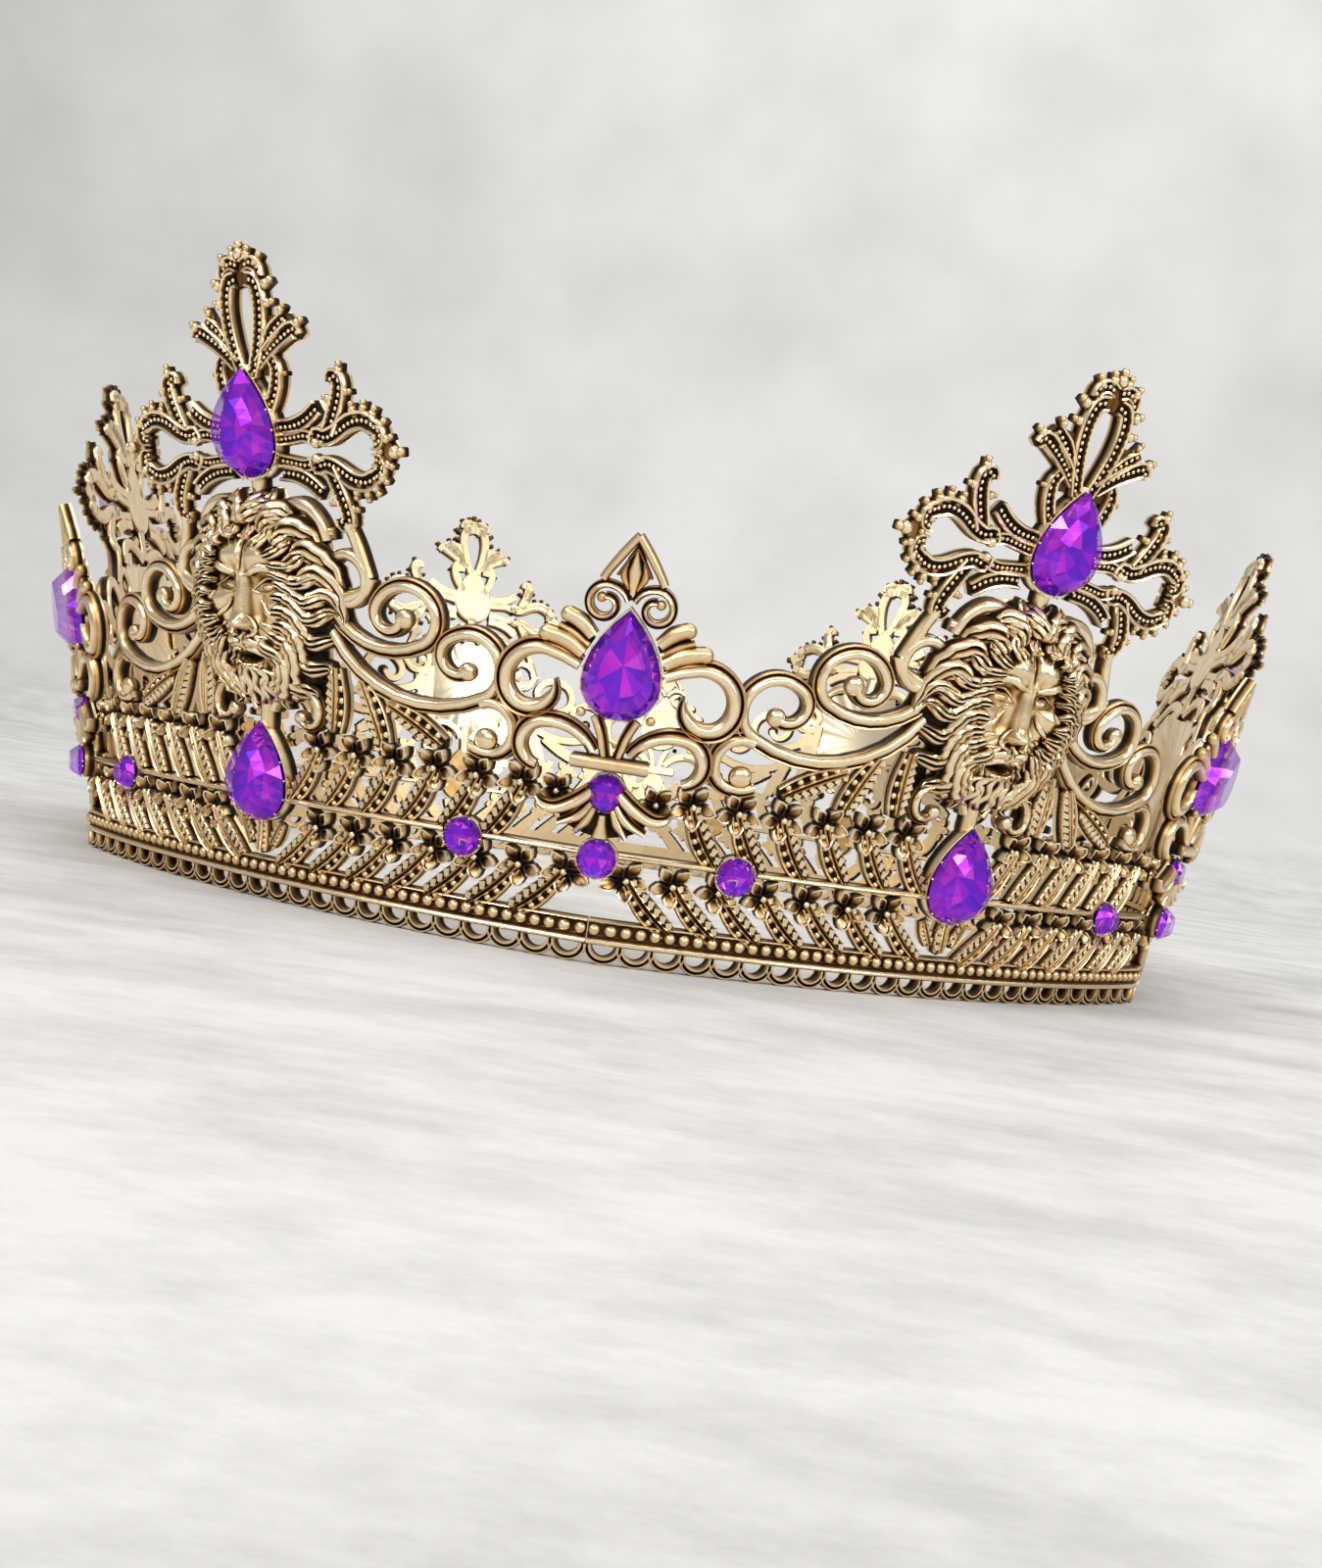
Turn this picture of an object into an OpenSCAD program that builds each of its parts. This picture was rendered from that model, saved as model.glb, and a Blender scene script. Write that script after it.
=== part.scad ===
/* [Crown] */
// Radius of the rim where two panels meet
rim_radius = 95; // [88:1:102]
// How far the middle of a panel lies inside the circle through the joints
panel_inset = 3.6; // [2:0.2:5]
// Thickness of the cast plate
plate = 1.5; // [1.2:0.1:2]
// How far the cast relief stands out from the plate
relief = 0.9; // [0.6:0.1:1.2]
// Gap between two neighbouring castings
joint_gap = 0.2; // [0.1:0.05:0.4]

/* [Band] */
// Height of the middle rail above the table
rail_z = 13.8; // [13:0.1:14.5]
// Distance between two leaves along the band
leaf_pitch = 5.94; // [5.8:0.02:6.1]
// Width of one leaf of the band
leaf_w = 2.5; // [2:0.1:3]
// Distance between two scallops of the lower edge
scallop_pitch = 3.78; // [3.7:0.02:3.8]

/* [Stones] */
// Width of a teardrop stone
drop_w = 9.6; // [9:0.1:10.2]
// Height of a teardrop stone
drop_h = 13.3; // [12.6:0.1:14]
// Diameter of the round stones on the rail
round_d = 5; // [4.6:0.1:5.4]
// Clearance between a stone and its setting
stone_gap = 0.08; // [0.05:0.01:0.15]

/* [Lion mask] */
// Half of the width of the mask
mask_a = 12.6; // [11.5:0.1:13]
// Half of the height of the mask
mask_b = 13.4; // [12.5:0.1:14]
// Height of the nose above the plate
mask_h = 6; // [5:0.2:7]

/* [Hidden] */

gold = "#b5915a";
violet = "#7a18c8";
$fn = 32;

// Plan of one panel: an arc through both joints and the inset middle
half_chord = rim_radius*sin(30);
joint_y = rim_radius*cos(30);
mid_y = rim_radius - panel_inset;
bend_r = (half_chord^2 + (mid_y - joint_y)^2)/(2*(mid_y - joint_y));
bend_back = bend_r - mid_y;

// Outward lean of the wall in straight stretches: rows are [height, lean]
wall_rows = [[-1, 0], [24.5, 2.5], [40, 5.9], [56, 10.3], [84, 18.8]];
function lean(z) = lookup(z, wall_rows);
function lean_angle(z) = atan((lean(z + 0.5) - lean(z - 0.5)));
cross_z = 48;
far = 200;

// A strip of the leaning wall between two offsets w0 and w1 from its outer face
module wall(r, w0, w1, span) {
    rotate([0, 0, -90 - span/2]) rotate_extrude(angle = span)
        polygon(concat([for (q = wall_rows) [r + q[1] + w1, q[0]]],
            [for (i = [len(wall_rows)-1:-1:0]) [r + wall_rows[i][1] + w0, wall_rows[i][0]]]));
}
module panel_wall(w0, w1) {
    translate([0, bend_back, 0]) wall(bend_r, w0, w1, 46);
}
module fleur_wall(w0, w1) { wall(rim_radius, w0, w1, 26); }
// The flat leaning plate of the cross
module cross_slab(w0, w1) {
    top = wall_rows[len(wall_rows)-1];
    foot = [cross_z, lean(top[0]) - (top[0] - cross_z)*tan(lean_angle(top[0] - 5))];
    rotate([90, 0, 90]) linear_extrude(60, center = true)
        polygon([for (q = [[foot, w0], [top, w0], [top, w1], [foot, w1]])
            [-(mid_y + q[0][1] + q[1]), q[0][0]]]);
}
// A pattern drawn in the upright X-Z plane, as a prism through the wall in front
module through() { rotate([90, 0, 0]) linear_extrude(far) children(); }
module both() { children(); mirror([1, 0]) children(); }
// The sixth of the crown that one panel may fill, short of the gap at both joints
module sector() {
    translate([0, -joint_gap, 0]) linear_extrude(100)
        polygon([[0, 0], [far*sin(30), -far*cos(30)], [-far*sin(30), -far*cos(30)]]);
}

// A frame on the wall: local Z points outwards and local Y up the slope
module on_panel(x, z) {
    r = bend_r + lean(z);
    translate([x, bend_back - sqrt(r*r - x*x), z]) rotate([90 + lean_angle(z), 0, asin(x/r)])
        children();
}
module on_fleur(z) {
    translate([0, -(rim_radius + lean(z)), z]) rotate([90 + lean_angle(z), 0, 0]) children();
}
module on_joint() { on_fleur(joint_round_z) translate([0, 0, joint_round_up]) children(); }

// Chains of arcs: rows are [radius, sweep], turn is 1 to the left and -1 to the right
arc_step = 40;
function side(h) = [-sin(h), cos(h)];
function chain(p, h, rows, turn, i = 0) = i >= len(rows) ? [[p, h]] :
    let (r = rows[i][0], a = rows[i][1], c = p + turn*r*side(h), n = max(1, ceil(a/arc_step)))
    concat([for (k = [0:n-1]) let (t = h + turn*a*k/n) [c - turn*r*side(t), t]],
        chain(c - turn*r*side(h + turn*a), h + turn*a, rows, turn, i + 1));
// Points of a line drawn by hand, each with the heading of the stretch round it
function path(p) = [for (i = [0:len(p)-1])
    let (d = p[min(i+1, len(p)-1)] - p[max(i-1, 0)]) [p[i], atan2(d[1], d[0])]];
// A ribbon of width w0 to w1 along such a chain or path
module ribbon(c, w0, w1) {
    n = len(c) - 1;
    polygon(concat([for (i = [0:n]) c[i][0] + side(c[i][1])*(w0 + (w1-w0)*i/n)/2],
        [for (i = [n:-1:0]) c[i][0] - side(c[i][1])*(w0 + (w1-w0)*i/n)/2]));
}

// Outline of a teardrop round its own centre, grown by g
drop_belly = 0.33;
drop_steps = 3;
function drop_side(t, a, h) = // from the widest point to the tip
    (1-t)^2*[a, drop_belly*h] + 2*t*(1-t)*[a, 0.66*h] + t^2*[0, h];
function drop_outline(w, h, n = drop_steps) = let (a = w/2)
    concat([for (i = [-n:n-1]) [a*sin(90*i/n), drop_belly*h*(1 - cos(90*i/n)) - h/2]],
        [for (i = [0:n-1]) drop_side(i/n, a, h) - [0, h/2]],
        [for (i = [n:-1:1]) let (q = drop_side(i/n, a, h)) [-q[0], q[1] - h/2]]);
function grown_drop(g) = drop_outline(drop_w + 2*g, drop_h + 3*g);
function ring_outline(d, n) = [for (i = [0:n-1]) d/2*[cos(360*i/n), sin(360*i/n)]];

// A cut stone: girdle, crown facets in one or two rows and a flat table
function shrink(p, s) = [for (q = p) q*s];
function half_step(p) = [for (i = [0:len(p)-1]) (p[i] + p[(i+1) % len(p)])/2];
function lift(p, z) = [for (q = p) [q[0], q[1], z]];
module cut_stone(outline, base, girdle, table, middle) {
    n = len(outline);
    crown = shrink(half_step(outline), middle ? 0.84 : 0.6);
    rows = [lift(outline, base), lift(outline, girdle), lift(crown, middle ? (girdle + table)/2 : table),
        if (middle) lift(shrink(outline, 0.55), table)];
    m = len(rows) - 1;
    polyhedron(points = [for (r = rows) each r], faces = concat(
        [[for (i = [0:n-1]) i]], [[for (i = [n-1:-1:0]) m*n + i]],
        [for (i = [0:n-1]) let (j = (i+1) % n) each [[i, n+i, n+j], [i, n+j, j]]],
        [for (i = [0:n-1]) let (j = (i+1) % n) each [[n+i, 2*n+i, n+j], [n+j, 2*n+i, 2*n+j]]],
        [if (middle) for (i = [0:n-1]) let (j = (i+1) % n)
            each [[2*n+i, 3*n+j, 2*n+j], [2*n+i, 3*n+i, 3*n+j]]]));
}
// Heights in a setting, from the face of the plate outwards
seat_w = 0.4;
drop_girdle = 1.6;
drop_table = 4.7;
round_girdle = 1.3;
round_table = 2.8;
cup_wall = 0.55;
module drop_stone() {
    color(violet) cut_stone(drop_outline(drop_w, drop_h), seat_w + stone_gap, drop_girdle, drop_table, true);
}
module round_stone(d) {
    color(violet) cut_stone(ring_outline(d, 8), seat_w + stone_gap, round_girdle, round_table, false);
}
module drop_cup(back) {
    translate([0, 0, back]) linear_extrude(drop_girdle - 0.2 - back) polygon(grown_drop(cup_wall));
}
module drop_seat() {
    translate([0, 0, seat_w]) linear_extrude(5) polygon(grown_drop(stone_gap));
}
module round_cup(d, back) {
    translate([0, 0, back]) cylinder(d = d + 2*cup_wall, h = round_girdle - 0.1 - back);
}
module round_seat(d) { translate([0, 0, seat_w]) cylinder(d = d + 2*stone_gap, h = 5); }

// Places of the stones
band_stone_z = 17.2;
cross_stone_z = 60.9;
fleur_stone_z = 36.9;
fleur_round_z = 21.4;
fleur_round_d = 4.8;
joint_round_z = 13.4;
joint_round_up = relief - 0.1; // it rides over the ends of both panels
rail_round_x = 31.5;
rail_round_z = 13.3;

// Band: arc length along the panel turned into its X
function arc_x(s) = bend_r*sin(s/bend_r*180/PI);
edge_x = half_chord + 0.8;
rim_top = 5.7;
lower_flower_z = 10.9;
upper_flower_z = 21.1;
first_lower = 45.3;
first_upper = 39;
function lower_x(i) = arc_x(first_lower - leaf_pitch*i);
function upper_x(i) = arc_x(first_upper - leaf_pitch*i);
// One leaf from its stalk (x, z) down to the rail below, leaning towards the middle
module leaf(x, z, dx, dz, w) {
    polygon([[x + w/2, z], [x - dx + w/2, z - dz], [x - dx - w/4, z - dz], [x - w/2, z]]);
}
module flower(x, z, r) {
    translate([x, z]) rotate(90) circle(r = r, $fn = 5);
}
module scallops() {
    for (i = [-12:12]) translate([i*scallop_pitch, 2]) circle(r = 2/cos(30), $fn = 6);
}
module band_plate() {
    both() {
        translate([0, 2.1]) square([edge_x, rim_top - 2.1]);
        polygon([[3.6, 5], [edge_x, 5], [edge_x, rail_z + 0.4], [0, rail_z + 0.4], [0, 8]]);
        polygon([[0, rail_z], [upper_x(0) + 0.4, rail_z], [upper_x(0) + 3.8, upper_flower_z + 0.4],
            [7.4, upper_flower_z + 0.6], [0, rail_z + 3]]);
    }
}
module band_windows() {
    both() for (i = [0.5, 3.5])
        polygon([[lower_x(i) + 1.2, 9.6], [lower_x(i) - 1.2, 9.6],
            [lower_x(i) - 6, rim_top + 0.2], [lower_x(i) - 3.2, rim_top + 0.2]]);
}
module band_relief() {
    both() {
        translate([0, 2.5]) square([edge_x, 0.8]);
        translate([0, 5.1]) square([edge_x, 0.5]);
        translate([4, rail_z - 0.4]) square([half_chord - 6.2, 0.8]);
        for (i = [0:6]) {
            leaf(lower_x(i) - 1, 10.2, 5.4, 4.8, leaf_w);
            flower(lower_x(i), lower_flower_z, 2.4);
        }
        for (i = [0:5]) {
            leaf(upper_x(i) - 0.6, 20.4, 4.6, 6.2, leaf_w);
            flower(upper_x(i), upper_flower_z, 2.5);
        }
    }
}

// Scrolls beside the mask: start, heading, then rows of [radius, sweep]
scroll_w = 1.5;
big_scroll = chain([11.3, 36.2], -56, [[17.2, 83], [4.1, 164], [6.2, 23], [2.4, 176]], 1);
upper_scroll = chain([11.7, 38.7], -50, [[11, 77], [3.6, 120], [5.1, 93], [2.2, 197]], 1);
small_scroll = chain([32.9, 30.2], 21, [[3.3, 193], [4.4, 40]], -1);
chin_scroll = chain([1.3, 25.5], 68, [[5.1, 92], [2.6, 92], [1.7, 120]], -1);
arch = chain([11.2, 48.8], 100, [[3.6, 100], [9, 28]], 1);
ring_c = [13.9, 43];
module scrolls() {
    both() {
        ribbon(big_scroll, scroll_w + 0.2, scroll_w - 0.2);
        translate([31.1, 33.5]) circle(d = 1.8);
        ribbon(upper_scroll, scroll_w + 0.2, scroll_w - 0.2);
        translate([22.4, 38.9]) circle(d = 2.3);
        ribbon(small_scroll, scroll_w, scroll_w);
        translate([33.6, 25.6]) circle(d = 2.8);
        translate([33.6, 23]) square([2.6, 2.4], center = true);
        ribbon(chin_scroll, scroll_w, 1.1);
        translate([6.2, 24.9]) circle(d = 1.7);
        difference() {
            union() {
                translate(ring_c) circle(r = 3.6);
                ribbon(path([[17, 43.5], [15.8, 46.4], [14.6, 49.4]]), 2.2, 1.8);
            }
            translate(ring_c) circle(r = 2.2);
        }
        ribbon(arch, 1.6, 1.8);
        ribbon(path([[16.3, 30.8], [18.3, 27], [19.8, 23]]), 2.6, 2.2);
    }
}
// Webs that close the narrow gaps beside the mask and under it
module webs() {
    both() {
        polygon([[10, 33], [13, 34], [20.5, 30.2], [26.9, 34.4], [19, 35.2], [11, 40]]);
        polygon([[10, 38], [14.5, 40], [18.6, 37.4], [18.8, 40.8], [16, 44], [10, 47]]);
        polygon([[9.6, 24], [14, 23], [13.8, 28], [13, 32], [8, 32]]);
        polygon([[19.6, 23], [28, 23.6], [28, 25], [21, 28.8], [17.5, 29.6]]);
        polygon([[13, 48], [15, 48], [15.6, 51.5], [13.4, 51.5]]);
    }
    polygon([for (i = [0:17]) mask_mid + [0.86*mask_a*cos(20*i), 0.86*mask_b*sin(20*i)]]);
    translate([-1.4, 22.5]) square([2.8, 6]);
}

// Cross above the mask, drawn to the right and mirrored; arm_z is the height of its arms
arm_z = 57.8;
band_w = 1.7;
module cross_arms() {
    both() {
        for (m = [1, -1]) translate([0, arm_z]) scale([1, m]) {
            ribbon(path([[19.6, 1], [21.2, 2.4], [18.6, 3.5], [15.3, 2.5], [13.2, 1.4], [10.8, 1.2]]),
                band_w, band_w);
            ribbon(path([[3, 2.6], [7, 2.6], [9.8, 3.5], [11.9, 4.5]]), 3, band_w);
            ribbon(path([[13, 2.2], [15, 5.8], [15.1, 9.4]]), 2.4, 2);
            for (q = [[20.6, 3.7], [18.2, 4.4], [16.5, 8]]) translate(q) circle(d = 1.5, $fn = 6);
        }
        polygon([[19.6, arm_z - 2.2], [24.8, arm_z], [19.6, arm_z + 2.2], [20.6, arm_z]]);
        polygon([[4, arm_z - 1.8], [11.6, arm_z - 0.9], [11.6, arm_z + 0.9], [4, arm_z + 1.8]]);
        polygon([[0, 81], [1.5, 79.2], [4.6, 78], [6.3, 75.4], [4.9, 72.8], [10, 71.8], [7, 69.8],
            [2.8, 68.8], [5.3, 67.8], [2.3, 63], [0, 63]]);
        polygon([[0, 50], [1.3, 50], [1.3, 54], [5.9, 56], [6.2, 60], [5, 64], [0, 67]]);
    }
}
module cross_hole() {
    translate([0, 69.6]) polygon(concat([[0, 0]], [for (i = [-3:9]) [1.75*cos(30*i), 3.8 + 1.6*sin(30*i)]]));
}

// Lion mask: rows are [x, z, width, height, rise]; rows with x above 0 stand on both sides
mask_mid = [0, 39.7];
mask_back = -1.1;
face = [
    [0, 42.4, 1.5, 3.6, 1.5],    // bridge of the nose
    [0, 38.2, 2, 1.3, 1.7],      // nose
    [2.3, 35.6, 1.9, 1.5, 1.5],  // muzzle
    [0, 33.3, 3.2, 0.7, -1.5],   // mouth
    [0, 31.4, 2.2, 1.2, 1.2],    // chin
    [3.3, 45.1, 2.2, 1, 1.4],    // brow
    [3.5, 42.7, 1.5, 0.9, -1.3], // eye socket
    [5.6, 39.6, 2, 2.2, 0.9],    // cheek
    [0, 48, 0.8, 2.4, -0.9]];    // groove of the forehead
function bump(x, z, f) = f[4]*exp(-((x-f[0])/f[2])^2 - ((z-f[1])/f[3])^2);
function face_rise(x, z, i = 0) = i >= len(face) ? 0 :
    bump(x, z, face[i]) + (face[i][0] > 0 ? bump(-x, z, face[i]) : 0) + face_rise(x, z, i + 1);
spokes = 26;
rings = [0.16, 0.32, 0.48, 0.66, 0.84, 1];
strands = 9;
function mask_point(s, a) = let (
        ripple = 1 + 0.05*s*cos(strands*a + 60),
        x = mask_mid[0] + mask_a*s*ripple*cos(a), z = mask_mid[1] + mask_b*s*ripple*sin(a),
        mane = max(0, s - 0.45)*1.9*cos(strands*a + 220*s),
        w = s == 1 ? 0 : (mask_h - 2)*sqrt(1 - s*s*0.92) + face_rise(x, z) + mane)
    wall_point(x, z, w);
function wall_point(x, z, w) = let (r = bend_r + lean(z) + w) [x, bend_back - sqrt(r*r - x*x), z];
module mask() {
    n = len(rings);
    m = n*spokes;
    pts = concat([for (s = rings) for (i = [0:spokes-1]) mask_point(s, 360*i/spokes)],
        [for (i = [0:spokes-1]) let (a = 360*i/spokes, p = mask_point(1, a)) wall_point(p[0], p[2], mask_back)],
        [wall_point(mask_mid[0], mask_mid[1], mask_h - 2 + face_rise(mask_mid[0], mask_mid[1])),
            wall_point(mask_mid[0], mask_mid[1], mask_back)]);
    polyhedron(points = pts, faces = concat(
        [for (r = [0:n-1]) for (i = [0:spokes-1]) let (j = (i+1) % spokes, a = r*spokes, b = a + spokes)
            each [[a+i, a+j, b+i], [a+j, b+j, b+i]]],
        [for (i = [0:spokes-1]) let (j = (i+1) % spokes) each [[j, i, m + spokes], [m+i, m+j, m + spokes + 1]]]));
}

module panel(k) {
    color(gold) rotate([0, 0, 30 + 60*k]) difference() {
        union() {
            intersection() {
                sector();
                panel_wall(-plate, 0);
                through() { difference() { band_plate(); band_windows(); } scallops(); webs(); }
            }
            intersection() {
                sector();
                panel_wall(-plate/2, relief);
                through() { band_relief(); scrolls(); }
            }
            intersection() {
                cross_slab(-plate/2 - 0.3, relief - 0.3);
                through() difference() { cross_arms(); cross_hole(); }
            }
            mask();
            on_panel(0, band_stone_z) drop_cup(-1);
            on_panel(0, cross_stone_z) drop_cup(-1);
            for (s = [-1, 1]) on_panel(s*rail_round_x, rail_round_z) round_cup(round_d, -1);
        }
        on_panel(0, band_stone_z) drop_seat();
        on_panel(0, cross_stone_z) drop_seat();
        for (s = [-1, 1]) on_panel(s*rail_round_x, rail_round_z) round_seat(round_d);
    }
}

// Fleur-de-lis at each joint: C scrolls, lower petals, tail and the spade above
c_scroll = chain([4.4, 37.5], 41, [[5.8, 97], [3.7, 76], [3.1, 160]], -1);
petal = chain([2.1, 26.4], 59, [[6.3, 69], [3.1, 59], [2.8, 101]], -1);
volute = chain([0.1, 44.1], 89, [[2.4, 172], [2, 118], [1.6, 162]], -1);
module fleur_outline() {
    both() {
        polygon([[0, 51.4], [3.9, 46.3], [0, 44.5]]);
        ribbon(volute, 1, 1);
        polygon([[0, 44], [2, 42], [4.8, 42.6], [4.8, 45], [3, 46], [0, 46]]);
        ribbon(path([[3, 41], [5, 42], [6.9, 42.3]]), 2, 1.4);
        ribbon(path([[4, 38.6], [6.6, 39.8], [8.8, 40]]), 2.2, 1.6);
        ribbon(c_scroll, 2.2, 1.6);
        ribbon(petal, 2, 1.6);
        translate([8.6, 30.4]) square([1.4, 1.6], center = true);
        ribbon(path([[2.2, 30.6], [1.2, 28], [0.7, 26]]), 1.3, 1.3);
        translate([0, 24.4]) square([4.5, 1.8]);
        ribbon(path([[1.4, 21.4], [3.7, 19.8], [6, 18.9], [7.3, 19.4]]), 1.8, 1);
        ribbon(path([[1, 19.6], [2.8, 17.8], [4.6, 16.9]]), 1.8, 1);
        polygon([[0, 13.5], [1.6, 13.5], [1.5, 16], [1.2, 25], [0, 25]]);
    }
}
module fleur(k) {
    color(gold) rotate([0, 0, 60*k]) difference() {
        union() {
            intersection() {
                fleur_wall(0.15, 0.15 + plate);
                through() fleur_outline();
            }
            on_fleur(fleur_stone_z) drop_cup(0.2);
            on_fleur(fleur_round_z) round_cup(fleur_round_d, 0.2);
            on_joint() round_cup(round_d, 0.2);
        }
        on_fleur(fleur_stone_z) drop_seat();
        on_fleur(fleur_round_z) round_seat(fleur_round_d);
        on_joint() round_seat(round_d);
    }
}

for (k = [1:6]) {
    panel(k);
    fleur(k);
    rotate([0, 0, 30 + 60*k]) on_panel(0, cross_stone_z) drop_stone();
    rotate([0, 0, 30 + 60*k]) on_panel(0, band_stone_z) drop_stone();
    rotate([0, 0, 60*k]) on_fleur(fleur_stone_z) drop_stone();
    rotate([0, 0, 60*k]) on_fleur(fleur_round_z) round_stone(fleur_round_d);
    rotate([0, 0, 60*k]) on_joint() round_stone(round_d);
    rotate([0, 0, 30 + 60*k]) on_panel(-rail_round_x, rail_round_z) round_stone(round_d);
    rotate([0, 0, 30 + 60*k]) on_panel(rail_round_x, rail_round_z) round_stone(round_d);
}
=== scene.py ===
from math import atan2, ceil, cos, degrees, pi, radians, sin

import bmesh
import bpy
import numpy as np
from bpy.props import FloatProperty, FloatVectorProperty, IntProperty, PointerProperty
from mathutils import Matrix, Vector


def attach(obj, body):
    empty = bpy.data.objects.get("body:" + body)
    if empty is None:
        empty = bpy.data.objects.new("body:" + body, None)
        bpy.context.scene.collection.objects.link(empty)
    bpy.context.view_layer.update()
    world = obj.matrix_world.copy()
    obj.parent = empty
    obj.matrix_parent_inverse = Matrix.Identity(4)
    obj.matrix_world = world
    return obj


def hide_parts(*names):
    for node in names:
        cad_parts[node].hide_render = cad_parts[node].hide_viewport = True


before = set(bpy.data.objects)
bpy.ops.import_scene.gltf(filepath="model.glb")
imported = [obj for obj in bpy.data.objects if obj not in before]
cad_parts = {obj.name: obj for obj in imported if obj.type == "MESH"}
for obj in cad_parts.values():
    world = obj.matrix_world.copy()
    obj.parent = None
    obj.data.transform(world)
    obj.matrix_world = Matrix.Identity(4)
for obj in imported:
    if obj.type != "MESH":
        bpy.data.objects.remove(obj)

bl_info = {
    "name": "Crystal crown",
    "version": (1, 0, 0),
    "blender": (4, 5, 0),
    "location": "3D View > Sidebar > Crown",
    "description": "Cast openwork panels, fleurs-de-lis and cut stones of a six-sided crown",
    "category": "Add Mesh",
}

# Drawings are in millimetres: X along the panel, Y up the wall and Z out of it
MM = 0.001
SIDES = 6
TURN = 360/SIDES


def hex_colour(text):
    """An sRGB hex value as the linear colour that shaders take"""
    parts = [int(text[i:i + 2], 16)/255 for i in (1, 3, 5)]
    return tuple(p/12.92 if p < 0.04045 else ((p + 0.055)/1.055)**2.4 for p in parts)


def metres(name, description, default, low, high):
    """A size that a user may change"""
    return FloatProperty(name=name, description=description, default=default, min=low, max=high,
                         unit="LENGTH")


def tint(name, description, value):
    """A colour that a user may change"""
    return FloatVectorProperty(name=name, description=description, default=hex_colour(value),
                               subtype="COLOR")


class CrownSizes(bpy.types.PropertyGroup):
    rim_radius: metres("Rim radius", "From the axis to a joint between two panels", 0.095, 0.08, 0.11)
    panel_inset: metres("Panel inset", "How far a panel's middle lies inside the joint circle",
                        0.0036, 0.002, 0.006)
    leaf_pitch: metres("Leaf pitch", "Distance between two leaves along the band", 0.00594, 0.0055, 0.0064)
    scallop_pitch: metres("Scallop pitch", "Distance between two scallops of the lower edge",
                          0.00378, 0.0036, 0.004)
    bead_pitch: metres("Rim bead pitch", "Distance between two beads of the rim", 0.00175, 0.0014, 0.0022)
    scroll_width: metres("Scroll width", "Width of the scroll bars beside the mask", 0.0019, 0.0014, 0.0024)
    drop_width: metres("Teardrop width", "Width of a teardrop stone", 0.0096, 0.009, 0.0102)
    drop_height: metres("Teardrop height", "Height of a teardrop stone", 0.0133, 0.0126, 0.014)
    round_width: metres("Round stone", "Diameter of the round stones on the rail", 0.005, 0.0046, 0.0054)
    locks: IntProperty(
        name="Mane locks", description="Locks of hair on each side of the mask in each ring",
        default=11, min=6, max=16)


class CrownColours(bpy.types.PropertyGroup):
    # The bright gold is wear on the crests, and on sharp edges also a painted highlight
    gold_bright: tint("Gold, bright", "Rubbed crests of the plating", "#fbe9c4")
    gold: tint("Gold", "Plating between the crests", "#d6b078")
    gold_shadow: tint("Gold, shadow", "Plating under thin patina", "#7c562c")
    patina: tint("Patina", "Black patina in the recesses", "#100c09")
    # The crystal colours are the stone's own violets and magentas, also used as painted light play: the
    # light one as a painted glint, the deep one as painted shade
    stone_light: tint("Crystal, light", "Brightest facets of the stones", "#e04bf0")
    stone_heart: tint("Crystal, heart", "Magenta facets of the stones", "#c810e0")
    stone_edge: tint("Crystal, edge", "Violet facets of the stones", "#7414e4")
    stone_deep: tint("Crystal, deep", "Darkest facets of the stones", "#3a08cc")
    floor: tint("Floor", "Pale table and wall", "#d3d2d0")


def sizes():
    """The sizes in millimetres"""
    found = bpy.context.scene.crown_sizes
    return {name: getattr(found, name)/MM for name in CrownSizes.__annotations__ if name != "locks"}


# The wall leans outwards in a curve, and above the mask it is a flat slope
LEAN_START = 0.06
LEAN_GROWTH = 0.0022
CROSS_FOOT = 48.0
CROSS_SLOPE = 0.3036
FLAT_FROM = 47.0
FLAT_OVER = 6.0


def lean(z):
    """How far out the wall is at a height, from its foot"""
    low = LEAN_START*z + LEAN_GROWTH*z*z
    foot = LEAN_START*CROSS_FOOT + LEAN_GROWTH*CROSS_FOOT**2
    return np.where(z < CROSS_FOOT, low, foot + CROSS_SLOPE*(z - CROSS_FOOT))


def lean_slope(z):
    """How far out the wall goes for each millimetre of height"""
    return np.where(z < CROSS_FOOT, LEAN_START + 2*LEAN_GROWTH*z, CROSS_SLOPE)


def panel_arc():
    """Radius of the panel's own bend and the distance of its middle from the axis"""
    s = sizes()
    half_chord = s["rim_radius"]*sin(pi/SIDES)
    joint_y = s["rim_radius"]*cos(pi/SIDES)
    middle = s["rim_radius"] - s["panel_inset"]
    rise = middle - joint_y
    return (half_chord**2 + rise**2)/(2*rise), middle


def onto_wall(flat, bend, middle, flatten):
    """Lays points of a flat drawing on the leaning wall, in millimetres"""
    x, z, w = np.asarray(flat, float).T
    radius = bend + lean(z)
    t = np.clip((z - FLAT_FROM)/FLAT_OVER, 0, 1)
    bent = 1 - t*t*(3 - 2*t) if flatten else 1.0
    sag = (radius - np.sqrt(radius**2 - x**2))*bent
    yaw = np.arcsin(x/radius)*bent
    pitch = np.arctan(lean_slope(z))
    return np.stack([
        x + w*np.sin(yaw)*np.cos(pitch),
        -(middle + lean(z)) + sag - w*np.cos(yaw)*np.cos(pitch),
        z - w*np.sin(pitch)], axis=1)


def onto_panel(flat):
    bend, middle = panel_arc()
    return onto_wall(flat, bend, middle, True)


def onto_fleur(flat):
    rim = sizes()["rim_radius"]
    return onto_wall(flat, rim, rim, False)


def wall_frame(x, z, onto):
    """A stiff frame on the wall for a stone: Z looks outwards and Y up the slope"""
    step = 0.01
    at, side, out = onto([(x, z, 0), (x + step, z, 0), (x, z, 1)])
    out = Vector(out - at).normalized()
    side = Vector(side - at).normalized()
    side = (side - out*side.dot(out)).normalized()
    return Matrix.Translation(at) @ Matrix([side, out.cross(side), out]).transposed().to_4x4()


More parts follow.
